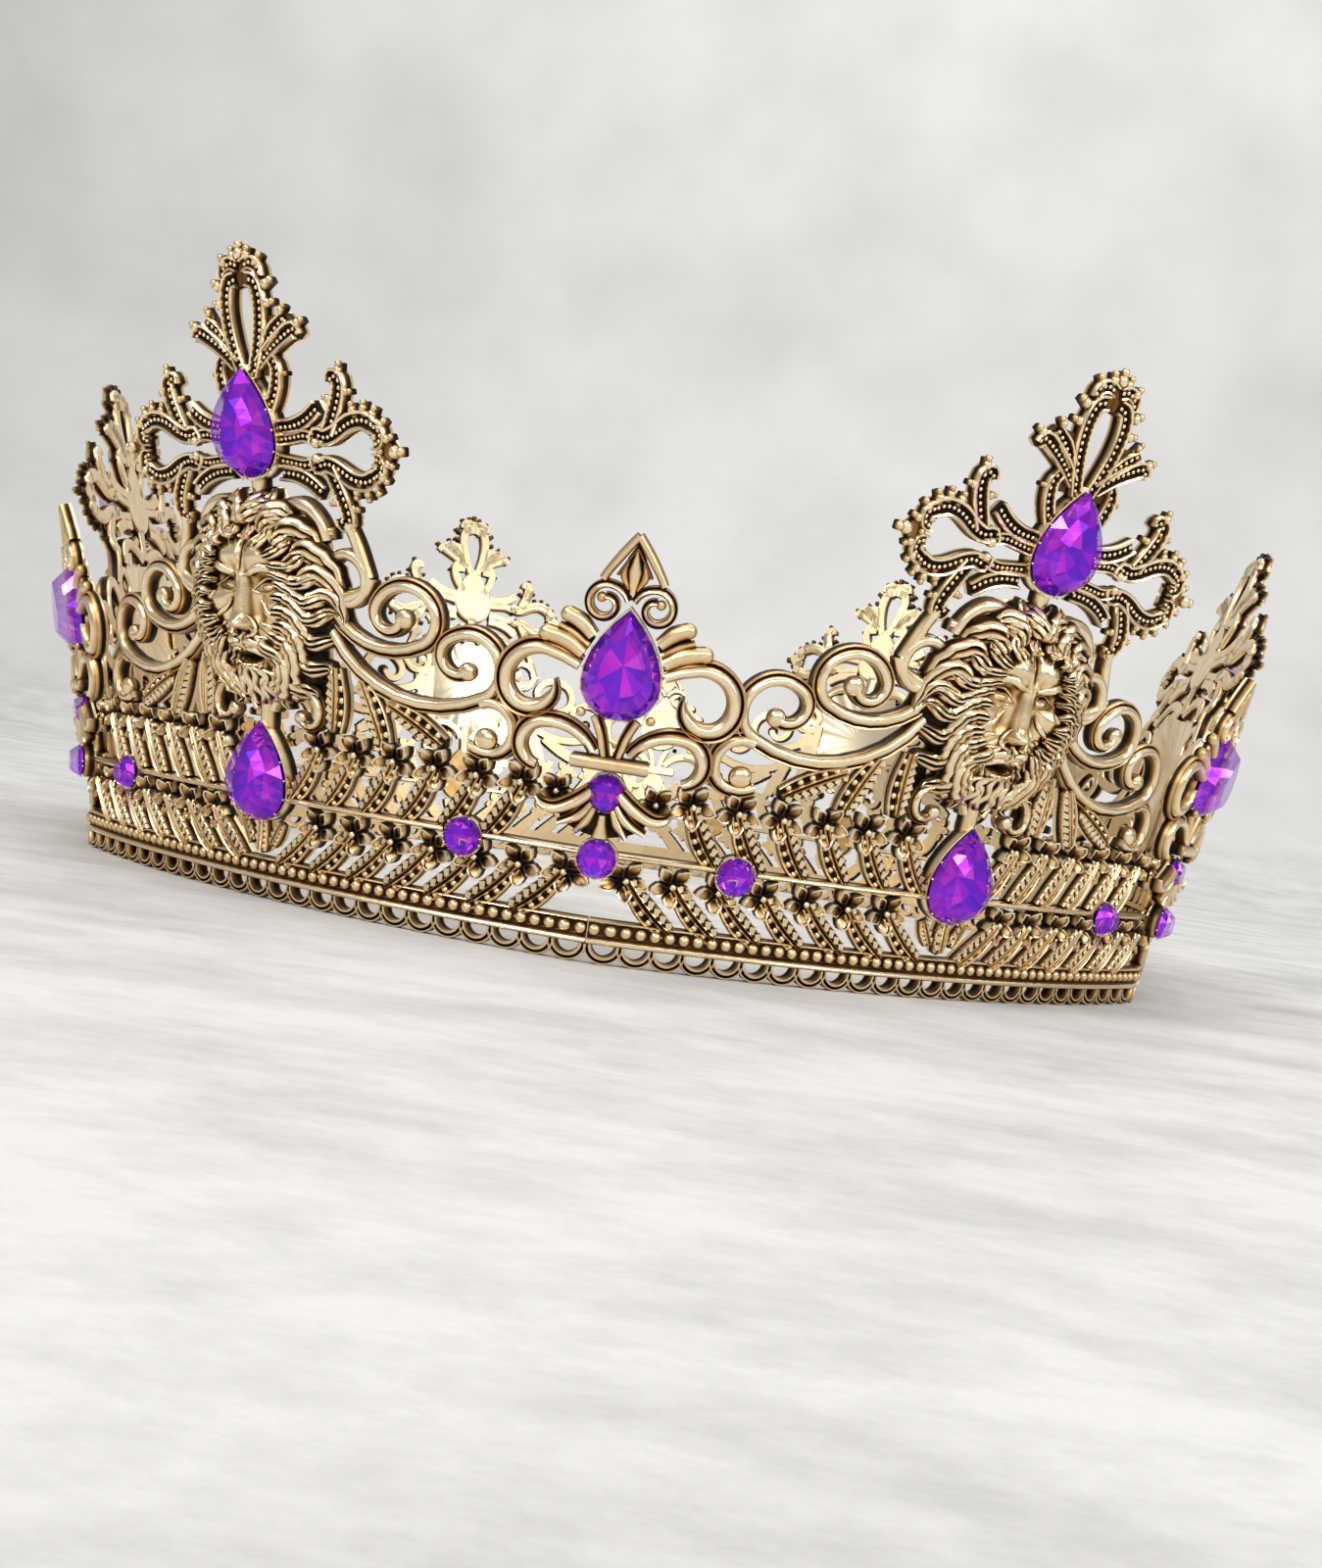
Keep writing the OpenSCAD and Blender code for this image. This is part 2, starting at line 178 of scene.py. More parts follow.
# Rise is how far a point stands out of its casting, in millimetres. The plating is black at DARK and
# below, bright from BRIGHT up, and a paler gold on the plain back, which is at BACK
DARK = -0.35
BRIGHT = 0.6
BEAD_RISE = 0.75
BACK = -1.5


class Casting:
    """Closed shapes of one casting: points, the rise of each, and faces"""

    def __init__(self, points, rise, faces):
        self.points, self.rise, self.faces = points, rise, faces


def finished(bm):
    """A bmesh as a casting; without a rise layer, a point rises as high as it lies"""
    bmesh.ops.recalc_face_normals(bm, faces=bm.faces)
    bm.verts.index_update()
    layer = bm.verts.layers.float.get("rise")
    points = np.array([v.co for v in bm.verts], float)
    rise = np.array([v[layer] for v in bm.verts]) if layer else points[:, 2].copy()
    faces = [tuple(v.index for v in f.verts) for f in bm.faces]
    bm.free()
    return Casting(points, rise, faces)


def moved(shape, at):
    """A shape placed by a matrix, which may also mirror it"""
    turn = np.array(at.to_3x3())
    order = -1 if np.linalg.det(turn) < 0 else 1
    return Casting(shape.points @ turn.T + np.array(at.translation), shape.rise,
                   [f[::order] for f in shape.faces])


def gathered(shapes):
    """Many shapes as one"""
    faces = []
    start = 0
    for shape in shapes:
        faces += [tuple(start + i for i in f) for f in shape.faces]
        start += len(shape.points)
    return Casting(np.vstack([s.points for s in shapes]), np.concatenate([s.rise for s in shapes]), faces)


def both(shape):
    """A shape and its mirror image on the other half of the drawing"""
    return gathered([shape, moved(shape, Matrix.Scale(-1, 4, (1, 0, 0)))])


# Lines are lists of 2-D vectors: x and height
def arcs(start, heading, rows, turn, step=11):
    """Points along a chain of arcs; rows are [radius, sweep], turn is 1 left and -1 right"""
    here = Vector(start)
    line = [here.copy()]
    for radius, sweep in rows:
        count = max(2, ceil(sweep/step))
        side = Vector((-sin(radians(heading)), cos(radians(heading))))*turn*radius
        centre = here + side
        for k in range(1, count + 1):
            a = heading + turn*sweep*k/count
            line.append(centre - Vector((-sin(radians(a)), cos(radians(a))))*turn*radius)
        heading += turn*sweep
        here = line[-1]
    return line


def through(points, steps=5):
    """A smooth line through a few given points"""
    p = [Vector(q) for q in points]
    p = [2*p[0] - p[1], *p, 2*p[-1] - p[-2]]
    line = []
    for a, b, c, d in zip(p, p[1:], p[2:], p[3:]):
        for k in range(steps):
            t = k/steps
            line.append(0.5*(2*b + (c - a)*t + (2*a - 5*b + 4*c - d)*t*t + (3*b - a - 3*c + d)*t**3))
    return [*line, p[-2]]


def spaced(line, pitch, inset=0.0):
    """Points at an even distance along a line"""
    lengths = np.concatenate([[0], np.cumsum([(b - a).length for a, b in zip(line, line[1:])])])
    span = lengths[-1] - 2*inset
    if span <= 0:
        return []
    count = max(1, round(span/pitch))
    at = inset + span*np.arange(count + 1)/count
    return list(zip(np.interp(at, lengths, [p.x for p in line]),
                    np.interp(at, lengths, [p.y for p in line])))


# Profiles of bars: places across from -1 to 1 and rise, from the back round the crest
def round_profile(crest, back=BACK, sides=6, shoulder=0.0):
    top = [(-cos(pi*k/sides), shoulder + (crest - shoulder)*sin(pi*k/sides)) for k in range(sides + 1)]
    return [(-0.75, back), (-1, back + 0.25), *top, (1, back + 0.25), (0.75, back)]


def moulded_profile(crest, back=BACK, lip=1):
    """A round bar with a thin lip along one side"""
    rows = [(-0.8, back), (-1, back + 0.25), (-1, 0), (-0.92, 0.4), (-0.7, 0.8), (-0.36, 1), (0, 0.94),
            (0.3, 0.62), (0.46, 0.1), (0.57, -0.3), (0.68, 0.3), (0.86, 0.4), (1, 0.1), (1, back + 0.25),
            (0.8, back)]
    rows = [(u, w if w <= 0 else w*crest) for u, w in rows]
    return rows if lip > 0 else [(-u, w) for u, w in reversed(rows)]


def channel_profile(crest, wall, floor):
    """Two thin rims with a sunk floor between them"""
    half = [(-0.85, BACK), (-1, BACK + 0.2), (-1, crest - 0.15), (-1 + wall*0.4, crest),
            (-1 + wall, crest - 0.1), (-1 + wall*1.3, floor)]
    return half + [(-u, w) for u, w in reversed(half)]


def width_at(width, t):
    """One width, or a list of them spread along the line"""
    if not hasattr(width, "__len__"):
        return width
    return float(np.interp(t, np.linspace(0, 1, len(width)), width))


def extruded(bm, face):
    """Extrudes a face and returns the new one; inner faces aren't left behind"""
    made = bmesh.ops.extrude_face_region(bm, geom=[face, *face.edges, *face.verts])["geom"]
    return next(g for g in made if isinstance(g, bmesh.types.BMFace))


# Half the width of a bar's thinnest place
LEAST_HALF = 0.04


def bar(line, profile, width, lift=0.0):
    """A cast bar: its profile is drawn out along a line"""
    bm = bmesh.new()
    layer = bm.verts.layers.float.new("rise")
    corners = [bm.verts.new((u, 0, w)) for u, w in profile]
    for corner, (u, w) in zip(corners, profile):
        corner[layer] = w
    face = bm.faces.new(corners)
    n = len(line) - 1
    at = Matrix.Identity(4)
    for i, p in enumerate(line):
        ahead = (line[min(i + 1, n)] - line[max(i - 1, 0)]).normalized()
        half = max(width_at(width, i/n)/2, LEAST_HALF)
        there = Matrix((
            (ahead.y*half, ahead.x, 0, p.x), (-ahead.x*half, ahead.y, 0, p.y),
            (0, 0, 1, width_at(lift, i/n)), (0, 0, 0, 1)))
        if i:
            face = extruded(bm, face)
        bmesh.ops.transform(bm, matrix=there @ at.inverted(), verts=face.verts)
        at = there
    return finished(bm)


def plate(outline, low, high, rim=0.0, sink=0.0):
    """A flat plate of an outline, with an optional sunk middle inside a rim"""
    bm = bmesh.new()
    face = bm.faces.new([bm.verts.new((*q, low)) for q in outline])
    top = extruded(bm, face)
    bmesh.ops.translate(bm, vec=(0, 0, high - low), verts=top.verts)
    if rim:
        bmesh.ops.inset_region(bm, faces=[top], thickness=rim, depth=0, use_even_offset=True)
        bmesh.ops.inset_region(bm, faces=[top], thickness=rim*0.4, depth=-sink, use_even_offset=True)
    return finished(bm)


def ground(outline, low, high, rise=DARK):
    """A plate behind the relief, left black"""
    made = plate(outline, low, high)
    made.rise = np.minimum(made.rise, rise)
    return made


def ball(d, fine=2):
    bm = bmesh.new()
    bmesh.ops.create_icosphere(bm, subdivisions=fine, radius=d/2)
    return finished(bm)


def bead(d, fine=1):
    """A small ball, bright all round"""
    made = ball(d, fine)
    made.rise[:] = BEAD_RISE
    return made


def dome(d, height):
    """A smooth boss with a round foot"""
    bm = bmesh.new()
    bmesh.ops.create_uvsphere(bm, u_segments=16, v_segments=10, radius=1)
    bmesh.ops.scale(bm, vec=(d/2, d/2, height), verts=bm.verts)
    return finished(bm)


def placed(shape, x, z, w=0.0, turn=0.0, scale=1.0):
    """A shape put at a place of the drawing, turned in degrees"""
    return moved(shape, Matrix.Translation((x, z, w)) @ Matrix.Rotation(radians(turn), 4, "Z")
                 @ Matrix.Scale(scale, 4))


def beads(line, d, pitch, w, inset=0.0, fine=1):
    """A row of small beads along a line"""
    one = bead(d, fine)
    return gathered([placed(one, x, z, w) for x, z in spaced(line, pitch, inset)])


# Leaves, flowers and scallops of the band
def leaf(length, width, bow=0.35, teeth=7):
    """A leaf from its foot upwards: double midrib, raised barbs on one half and beads on the other"""
    half = width/2
    rows = [k/7 for k in range(8)]
    rib = [(-1, -0.5), (-0.95, 0.6), (-0.6, 0.9), (0, 0.3), (0.6, 0.9), (0.95, 0.6), (1, -0.5)]
    barb = [(-1, -0.35), (-0.68, 0.48), (0.68, 0.48), (1, -0.35)]

    def edge(t):
        return half*(0.55 + 0.45*sin(pi*min(1, 0.1 + t*0.95)))

    def bowed(t):
        return bow*(4*t*(1 - t))

    right = [Vector((bowed(t) + edge(t), t*length)) for t in rows]
    left = [Vector((bowed(t) - edge(t)*0.93, t*length)) for t in rows]
    blade = plate([(bowed(0), -0.4), *right, *reversed(left)], BACK, 0.0)
    blade.rise += DARK
    parts = [blade, bar(right, round_profile(0.55, -0.6, 4, 0.0), 0.5),
             bar(left, [(-1, -0.6), (-0.8, 0.3), (0, 0.5), (1, -0.3)], 0.5),
             bar([Vector((bowed(t), t*length)) for t in rows], rib, [0.6, 0.9, 0.9])]
    for k in range(teeth):
        t = (k + 0.4)/teeth
        foot = Vector((bowed(t) - 0.4, t*length))
        tip = Vector((bowed(t) - edge(t)*0.95, t*length + 0.6))
        parts.append(bar([foot, tip], barb, [0.8, 1.2], [0.15, 0.0]))
    for k in range(5):
        t = (k + 0.7)/5.4
        parts.append(placed(bead(1.0), bowed(t) + edge(t)*0.56, t*length, 0.12))
    return gathered(parts)


def flower(r):
    """Five folded, pointed petals round a bead"""
    petal = [(0, 0.5), (0.7, 1.2), (0.86, 1.75), (0.5, 2.45), (0, r), (-0.5, 2.45), (-0.86, 1.75),
             (-0.7, 1.2)]
    blade = plate(petal, BACK + 0.2, 0.5, 0.2, 0.36)
    x, y, w = blade.points.T
    top = w > -0.4
    rim = w > 0.4
    # Each petal is painted dark towards the middle of the flower and bright on its rim: patina in its sunk
    # floor, and painted shade at the flower's middle
    outward = np.clip((y - 1.2)/0.85, 0, 1)
    blade.points[:, 2] += top*(0.5*outward**2 + 0.18*x - 0.3*(1 - outward)*np.clip(1 - np.abs(x), 0, 1))
    blade.rise = np.where(top, (np.where(rim, 1.1, 0.6) - DARK)*outward + DARK, blade.rise)
    # The black plate in the middle behind the petals is patina and painted shade
    middle = ground([(1.6*cos(pi*k/5), 1.6*sin(pi*k/5)) for k in range(10)], BACK, -0.2)
    return gathered([*(placed(blade, 0, 0, 0, 72*k - 36) for k in range(5)),
                     placed(bead(1.05), 0, 0, 0.5), middle])


def scallop(pitch):
    """A hanging loop with two ridges that shares its sides with its neighbours"""
    half = 0.5
    rows = [(-1, -1.3), (-1, 0.05), (-0.85, 0.42), (-0.5, 0.42), (-0.26, -0.35), (0.04, -0.35), (0.28, 0.48),
            (0.75, 0.48), (1, 0.0), (1, -1.3)]
    loop = [Vector((-pitch/2*cos(pi*k/12), (half - SCALLOP_Z)*sin(pi*k/12))) for k in range(13)]
    made = bar(loop, [(-u, w) for u, w in reversed(rows)], 2*half)
    made.rise = np.where(made.rise > 0, made.rise*0.85, made.rise)
    return made


# Heights of the band
SCALLOP_Z = 2.45
LOWER_RAIL_Z = 2.9
BEAD_ROW_Z = 4.25
CHANNEL = 2.6
RIM_BEAD = 1.5
UPPER_RAIL_Z = 5.4
RAIL_Z = 13.8
# Rows of leaves from the joint inwards: place of the first flower, count, a leaf's length and width, its
# foot from the flower's place, turn and scale, and the flowers' height, sway and scale
LEAF_ROWS = [
    (45.3, 7, (8.2, 2.55), (-6.2, 5.0), -45.5, 1.0, 10.9, 6, 0.98),
    (39.0, 6, (8.4, 2.7), (-4.2, 14.0), -31, 0.98, 21.1, 8, 1.0),
]
# Half the gap between two panels
SEAM = 0.07
MITRE = 0.144
MITRE_FROM = 45.0
ROUND_X, ROUND_Z = 31.5, 13.3
BAND_STONE_Z = 17.2
CROSS_STONE_Z = 60.9
FLEUR_STONE_Z = 36.9
FLEUR_ROUND = 4.8
FLEUR_ROUND_Z = 21.4
# The stone over a joint stands out by this much more
JOINT_LIFT = 0.8
JOINT_ROUND_Z = 13.4


def level(x0, x1, z, steps=22):
    """A level line along the wall"""
    return [Vector((x0 + (x1 - x0)*k/steps, z)) for k in range(steps + 1)]


def band():
    """Scallops, rim and rails with two rows of leaves and flowers"""
    s = sizes()
    bend = panel_arc()[0]
    end = s["rim_radius"]*sin(pi/SIDES) - SEAM
    pitch = s["scallop_pitch"]
    channel = bar(level(-end, end, BEAD_ROW_Z), [(-1, BACK), (-1, 0.15), (1, 0.15), (1, BACK)], CHANNEL)
    channel.rise[channel.rise > 0] = -0.3
    inset = RIM_BEAD/2
    pearls = beads(level(-end + inset, end - inset, BEAD_ROW_Z + 0.15, 2), RIM_BEAD, s["bead_pitch"],
                   0.3, 0, 2)
    # Each bead is painted dark at its foot and lighter up to its crest: patina round the foot, and painted
    # shade that makes the bead look round
    pearls.rise = np.interp(pearls.points[:, 2], [0.3, 1.0], [-0.25, 0.52])
    arch = scallop(pitch)
    count = int(end/pitch)
    parts = [
        bar(level(-end, end, LOWER_RAIL_Z), round_profile(0.85, shoulder=-0.1), 0.95),
        bar(level(-end, end, LOWER_RAIL_Z + 0.75), round_profile(0.3, -1.2, 4, -0.3), 0.4),
        channel,
        bar(level(-end, end, UPPER_RAIL_Z), round_profile(0.55, shoulder=-0.1), 0.5),
        pearls,
        *(placed(arch, i*pitch, SCALLOP_Z) for i in range(-count, count + 1))]
    clear = s["round_width"]/2 + 0.2
    half = [bar(level(start, stop, RAIL_Z, 12), round_profile(0.95, shoulder=0.1), 0.85)
            for start, stop in ((3.6, ROUND_X - clear), (ROUND_X + clear, end - 1.6))]
    bloom = flower(2.9)
    for first, count, size, foot, turn, scale, top, sway, bloom_scale in LEAF_ROWS:
        blade = leaf(*size)
        for i in range(count):
            x = bend*sin((first - s["leaf_pitch"]*i)/bend)
            half.append(placed(blade, x + foot[0], foot[1], 0, turn, scale))
            half.append(placed(bloom, x, top, 0, sway*(i % 3 - 1), bloom_scale))
    # One more flower over the joint, in line with the upper row
    x = bend*sin((first + s["leaf_pitch"])/bend)
    half.append(placed(bloom, x - 1.2, top - 0.4, 0, 5, 0.85))
    parts.append(both(gathered(half)))
    small = leaf(4.4, 1.9, 0.0, 4)
    parts.append(placed(small, 0, 6.4))
    parts.append(both(placed(small, 1.9, 7.4, 0, -28, 0.8)))
    return gathered(parts)


# Scrolls beside the mask: start, heading, [radius, sweep] rows, turn, place and width of the end ball,
# and share of the scroll width
SCROLLS = [
    ((11.3, 36.2), -56, [[17.2, 83], [4.1, 164], [6.2, 23], [2.4, 176]], 1, (31.1, 33.5), 2.4, 1.0),
    ((11.7, 38.7), -50, [[11, 77], [3.6, 120], [5.1, 93], [2.2, 197]], 1, (22.4, 38.9), 2.6, 1.0),
    ((32.9, 30.2), 21, [[3.3, 193], [4.4, 40]], -1, (33.6, 25.6), 2.9, 1.0),
    ((1.3, 25.5), 68, [[5.1, 92], [2.6, 92], [1.7, 120]], -1, (6.2, 24.9), 2.0, 0.75),
]
# Leaves under the scrolls: foot, tip and width
FREE_LEAVES = [((11.9, 23.7), (12, 31.9), 3.0), ((19.6, 23), (16.2, 30.6), 3.0),
               ((28, 24.1), (20.2, 28.2), 2.7)]


def scroll(start, heading, rows, turn, end, end_d, width):
    """A scroll bar that ends in a small snail"""
    line = arcs(start, heading, rows, turn)
    return gathered([
        bar(line, moulded_profile(1.0, lip=turn), [width*1.1, width, width, width*0.9, width*0.8]),
        placed(dome(end_d, 0.95), *end, 0.05),
        placed(dome(end_d*0.96, 1.2), *end, -0.3)])


def beside_mask():
    """Scrolls, free leaves and arches between the band and the mask"""
    parts = [scroll(*row, share*sizes()["scroll_width"]) for *row, share in SCROLLS]
    for foot, top, w in FREE_LEAVES:
        span = Vector(top) - Vector(foot)
        blade = leaf(span.length, w, 0.15, 8)
        parts.append(placed(blade, *foot, 0, degrees(atan2(span.y, span.x)) - 90))
    parts += [bar(line, round_profile(crest), width) for line, crest, width in (
        (arcs((16.85, 43), 90, [[2.95, 360]], 1), 0.85, 1.5),
        (through([(17, 43.2), (16, 46.3), (14.8, 49.4)]), 0.75, [1.9, 1.5]),
        (through([(12.4, 48.3), (10.4, 48.3)]), 0.6, 1.4),
        (arcs((11.2, 47.4), 97, [[4.6, 93], [12, 24]], 1), 1.0, [1.5, 2.1, 2.0]),
        (through([(11, 39.8), (13.4, 40.4), (16.4, 41.6), (17.6, 43.4)]), 0.8, [2.4, 1.6]))]
    parts += [
        plate([(9.5, 34.2), (12.6, 34.4), (15.2, 36.4), (13.4, 39.6), (11.6, 41.6), (9.5, 41.6)],
              BACK, DARK),
        plate([(8, 25.6), (12.2, 25.2), (12.6, 31.6), (9, 33)], BACK, -0.5)]
    stalk = bar(through([(0, 22), (0, 25), (0, 28.4)]), round_profile(0.6), [2.2, 2.8])
    return gathered([both(gathered(parts)), stalk])


# Lace cross: bands are sunk channels with a row of beads; heights are from the middle of the arms
ARM_Z = 57.8
ARM_BANDS = [
    ([(10.9, 0.7), (11.1, 1.7), (12.4, 1.5), (14.2, 2.0), (16.6, 3.2), (18.8, 3.5), (20.6, 2.8)],
     [2.5, 2.1, 2.3, 2.3]),
    ([(20.2, 3.0), (21.4, 2.2), (21.2, 1.0), (20.2, 0.9)], [2.0, 1.4]),
    ([(4.4, 2.6), (7.0, 2.8), (9.4, 3.6), (11.4, 4.9)], [2.0, 2.1, 2.0]),
    ([(4.4, 1.2), (6.8, 1.5), (9.0, 1.7), (10.6, 1.3)], [1.7, 1.5]),
    ([(13.0, 2.2), (14.2, 4.3), (15.1, 6.3), (15.2, 7.9), (14.2, 8.4), (13.7, 7.6)], [2.0, 2.3, 2.1, 1.3]),
]
# Spikes are two balls in line: place, heading and size
ARM_SPIKES = [(21.6, 2.9, 42, 1.2), (20.4, 4.1, 62, 1.2), (19.0, 4.8, 85, 1.1), (17.2, 4.6, 105, 1.1),
              (22.5, 1.4, 22, 1.1), (15.3, 9.0, 80, 1.2), (16.3, 6.6, 5, 1.0), (13.3, 5.9, 165, 1.0)]
TOP_BANDS = [
    ([(0.9, 66.4), (1.7, 68.6), (2.4, 70.8), (2.8, 73.2), (2.8, 75.2), (2.2, 76.9), (0.9, 77.3)],
     [1.6, 2.0, 2.2, 1.9]),
    ([(2.0, 67.6), (4.2, 69.4), (6.4, 70.7), (8.3, 71.5), (9.2, 70.7)], [1.6, 2.0, 2.2, 1.2]),
    ([(3.0, 69.6), (5.0, 71.5), (7.0, 72.9)], [1.3, 1.9, 1.3]),
    ([(2.6, 61.6), (4.4, 64.4), (5.0, 67.0), (4.3, 68.4)], [1.8, 1.9, 1.4]),
    ([(0.4, 78.7), (1.6, 79.1), (2.9, 78.6), (3.3, 77.4)], [1.5, 1.7, 1.3]),
]
TOP_SPIKES = [(4.2, 76.6, 30, 1.3), (4.3, 74.5, 10, 1.2), (6.4, 73.6, 55, 1.0), (9.0, 72.1, 30, 1.2),
              (2.9, 79.2, 55, 1.2), (1.2, 79.9, 75, 1.2), (5.8, 66.6, 0, 0.8)]


def lace(points, width):
    """A sunk band with thick rims and a row of beads"""
    line = through(points, 3)
    floor = bar(line, channel_profile(0.66, 0.36, -0.05), width)
    floor.rise = np.where((floor.rise > -0.4) & (floor.rise < 0), DARK, floor.rise*1.3)
    return gathered([floor, beads(line, 0.62, 0.78, 0.12, 0.5)])


def spike(x, z, heading, d):
    """Two balls in line on a short stalk, which joins them to the band behind"""
    ahead = Vector((cos(radians(heading)), sin(radians(heading))))
    foot = Vector((x, z))
    parts = [placed(ball(d*(1 - 0.16*k), 2 - k), *(foot + ahead*0.62*d*k), 0.12) for k in range(2)]
    parts.append(bar([foot - ahead*0.9, foot + ahead*0.7*d], round_profile(0.1, -1.1, 4), d*0.7))
    return gathered(parts)


def cross():
    """The lace cross: two side arms, each of two mirrored quarters, the top, the hub and the foot"""
    arm = gathered([*(lace(*row) for row in ARM_BANDS), *(spike(*row) for row in ARM_SPIKES),
                    placed(dome(1.3, 0.95), 10.9, 0.9)])
    parts = [both(placed(moved(arm, Matrix.Scale(side, 4, (0, 1, 0))), 0, ARM_Z)) for side in (1, -1)]
    half = [lace(*row) for row in TOP_BANDS] + [spike(*row) for row in TOP_SPIKES]
    half += [
        spike(23.7, ARM_Z, 0, 1.6),
        placed(dome(0.9, 0.5), 21.4, ARM_Z, 0.1),
        plate([(20.0, ARM_Z - 1.4), (22.4, ARM_Z - 1.6), (23.6, ARM_Z), (22.4, ARM_Z + 1.6),
               (20.0, ARM_Z + 1.4), (20.7, ARM_Z)], BACK, 0.0),
        plate([(3.3, 78.6), (0.05, 79.6), (0.05, 76.6), (2.8, 76.0)], BACK, -0.1),
        plate([(2.2, 68.0), (8.4, 72.0), (7.0, 73.3), (3.2, 73.0)], BACK, -0.15),
        plate([(2.4, 66.4), (4.4, 66.2), (3.9, 69.4), (2.6, 69.6)], BACK, -0.15)]
    hub = [(x, z + CROSS_STONE_Z) for x, z in drop_outline(9.2, 13.0, 6)]
    foot = bar(through([(0, 49.4), (0, 52), (0, 55)]), round_profile(0.7), [2.4, 2.0, 2.6])
    return gathered([*parts, both(gathered(half)), spike(0, 80.1, 90, 1.5), plate(hub, BACK, 0.1), foot])


# Lion mask
MASK_Z = 39.7
MASK_A, MASK_B = 12.2, 13.3
MASK_TOP = 4.2
NOSE_TIP, NOSE_TOP = 35.8, 45.2
# The fur is combed away from here, and starts at this share of the oval
COMB_Z = 38
FUR_FROM = 0.5
# Rows are x, height, half width, half height and rise; rows beside the middle stand on both sides
FACE = [
    (2.4, 45.3, 2.2, 1.9, 1.5),    # forehead bulges
    (0.0, 46.0, 0.4, 2.6, -0.8),   # forehead groove
    (3.3, 43.5, 2.0, 0.6, 0.7),    # brow shelf
    (3.5, 41.9, 1.7, 0.95, -1.9),  # eye sockets
    (3.4, 41.6, 0.95, 0.5, 1.5),   # eyeballs
    (5.6, 39.2, 1.6, 1.6, 0.9),    # cheekbones
    (2.6, 38.6, 0.8, 1.7, -0.8),   # hollows beside the nose
    (0.0, 34.5, 3.1, 1.7, 0.9),    # muzzle
    (1.9, 34.2, 1.3, 1.0, 0.6),    # whisker pads
    (0.0, 36.8, 1.7, 0.7, 0.9),    # tip of the nose
    (0.8, 35.5, 0.42, 0.22, -0.9),  # nostrils
    (0.0, 34.5, 0.24, 0.8, -0.8),  # groove under the nose
    (0.0, 32.3, 1.9, 0.5, -2.2),   # mouth
    (0.0, 31.0, 2.0, 0.5, 0.6),    # lower lip
    (5.2, 34.6, 0.8, 2.4, -0.9),   # hollows between muzzle and mane
]
# Raised lines of the face: points, widths and rise; each stands on both sides
FACE_LINES = [
    ([(0.6, 42.9), (2.0, 43.3), (3.7, 43.9), (5.3, 43.4), (6.4, 42.0)], [0.5, 1.1, 1.2, 0.9, 0.3], 0.5),
    ([(1.5, 40.9), (2.5, 42.2), (3.8, 42.5), (5.3, 41.3)], [0.2, 0.5, 0.55, 0.2], 0.3),
    ([(1.7, 40.9), (2.9, 40.6), (4.1, 40.7), (5.1, 41.3)], [0.2, 0.45, 0.45, 0.2], 0.25),
    ([(0.7, 35.2), (1.6, 35.2), (2.1, 36.0), (1.8, 37.0), (1.2, 37.8)], [0.4, 0.7, 0.7, 0.5, 0.2], 0.45),
    ([(0.35, 34.4), (1.6, 34.5), (3.0, 33.7), (4.1, 32.2)], [0.5, 1.0, 0.9, 0.2], 0.35),
    ([(0.35, 33.4), (1.4, 33.5), (2.5, 32.9), (3.4, 31.7)], [0.4, 0.8, 0.8, 0.2], 0.35),
    ([(2.4, 35.2), (3.7, 34.9), (4.8, 33.6), (5.2, 31.8)], [0.3, 0.7, 0.7, 0.2], 0.35),
    ([(2.9, 36.8), (4.2, 36.4), (5.6, 35.0), (6.1, 33.0)], [0.3, 0.8, 0.8, 0.2], 0.35),
    ([(2.7, 39.8), (3.7, 38.4), (5.2, 37.4), (6.6, 35.6)], [0.3, 0.9, 0.9, 0.2], 0.35),
    ([(5.2, 40.6), (6.2, 39.4), (7.2, 37.9), (7.8, 36.0)], [0.3, 1.0, 1.0, 0.2], 0.4),
    ([(0.0, 31.2), (1.2, 31.3), (2.4, 32.0)], [0.8, 0.7, 0.2], 0.3),
]


def face_rise(x, z):
    """How far the mask stands out from the plate at a place"""
    oval = (x/MASK_A)**2 + ((z - MASK_Z)/MASK_B)**2
    rise = MASK_TOP*np.sqrt(np.clip(1 - 0.9*oval, 0.02, 1)) - 0.4
    for cx, cz, a, b, h in FACE:
        for side in ((1, -1) if cx else (1,)):
            rise = rise + h*np.exp(-((x - side*cx)/a)**2 - ((z - cz)/b)**2)
    # The nose is a long flat ridge with steep sides that widens downwards to a blunt tip
    down = np.clip((44.0 - z)/7.0, 0, 1)
    side = np.abs(x)
    ridge = np.exp(-(side/(0.75 + 0.45*down))**4)*(0.7 + 0.9*down)
    rise = rise + ridge*np.clip((z - NOSE_TIP)/0.7, 0, 1)*np.clip((NOSE_TOP - z)/2.0, 0, 1)
    # Fur: combed lines that run outwards from the nose
    angle = np.arctan2(z - COMB_Z, side)
    radius = np.sqrt(oval)
    outer = np.clip((radius - FUR_FROM)/0.15, 0, 1)
    rise = rise + 0.24*outer*np.cos(42*angle + 8*np.sin(5*radius + 2*angle))
    muzzle = np.exp(-((side - 2.8)/1.6)**2 - ((z - 34.6)/1.4)**2)
    return rise + 0.15*muzzle*np.cos(30*np.arctan2(z - COMB_Z, side + 0.4))


def mask_outline(angle):
    """Share of the oval that the mane reaches at an angle"""
    return 1 + 0.035*np.cos(9*angle + 0.6) + 0.025*np.cos(23*angle)


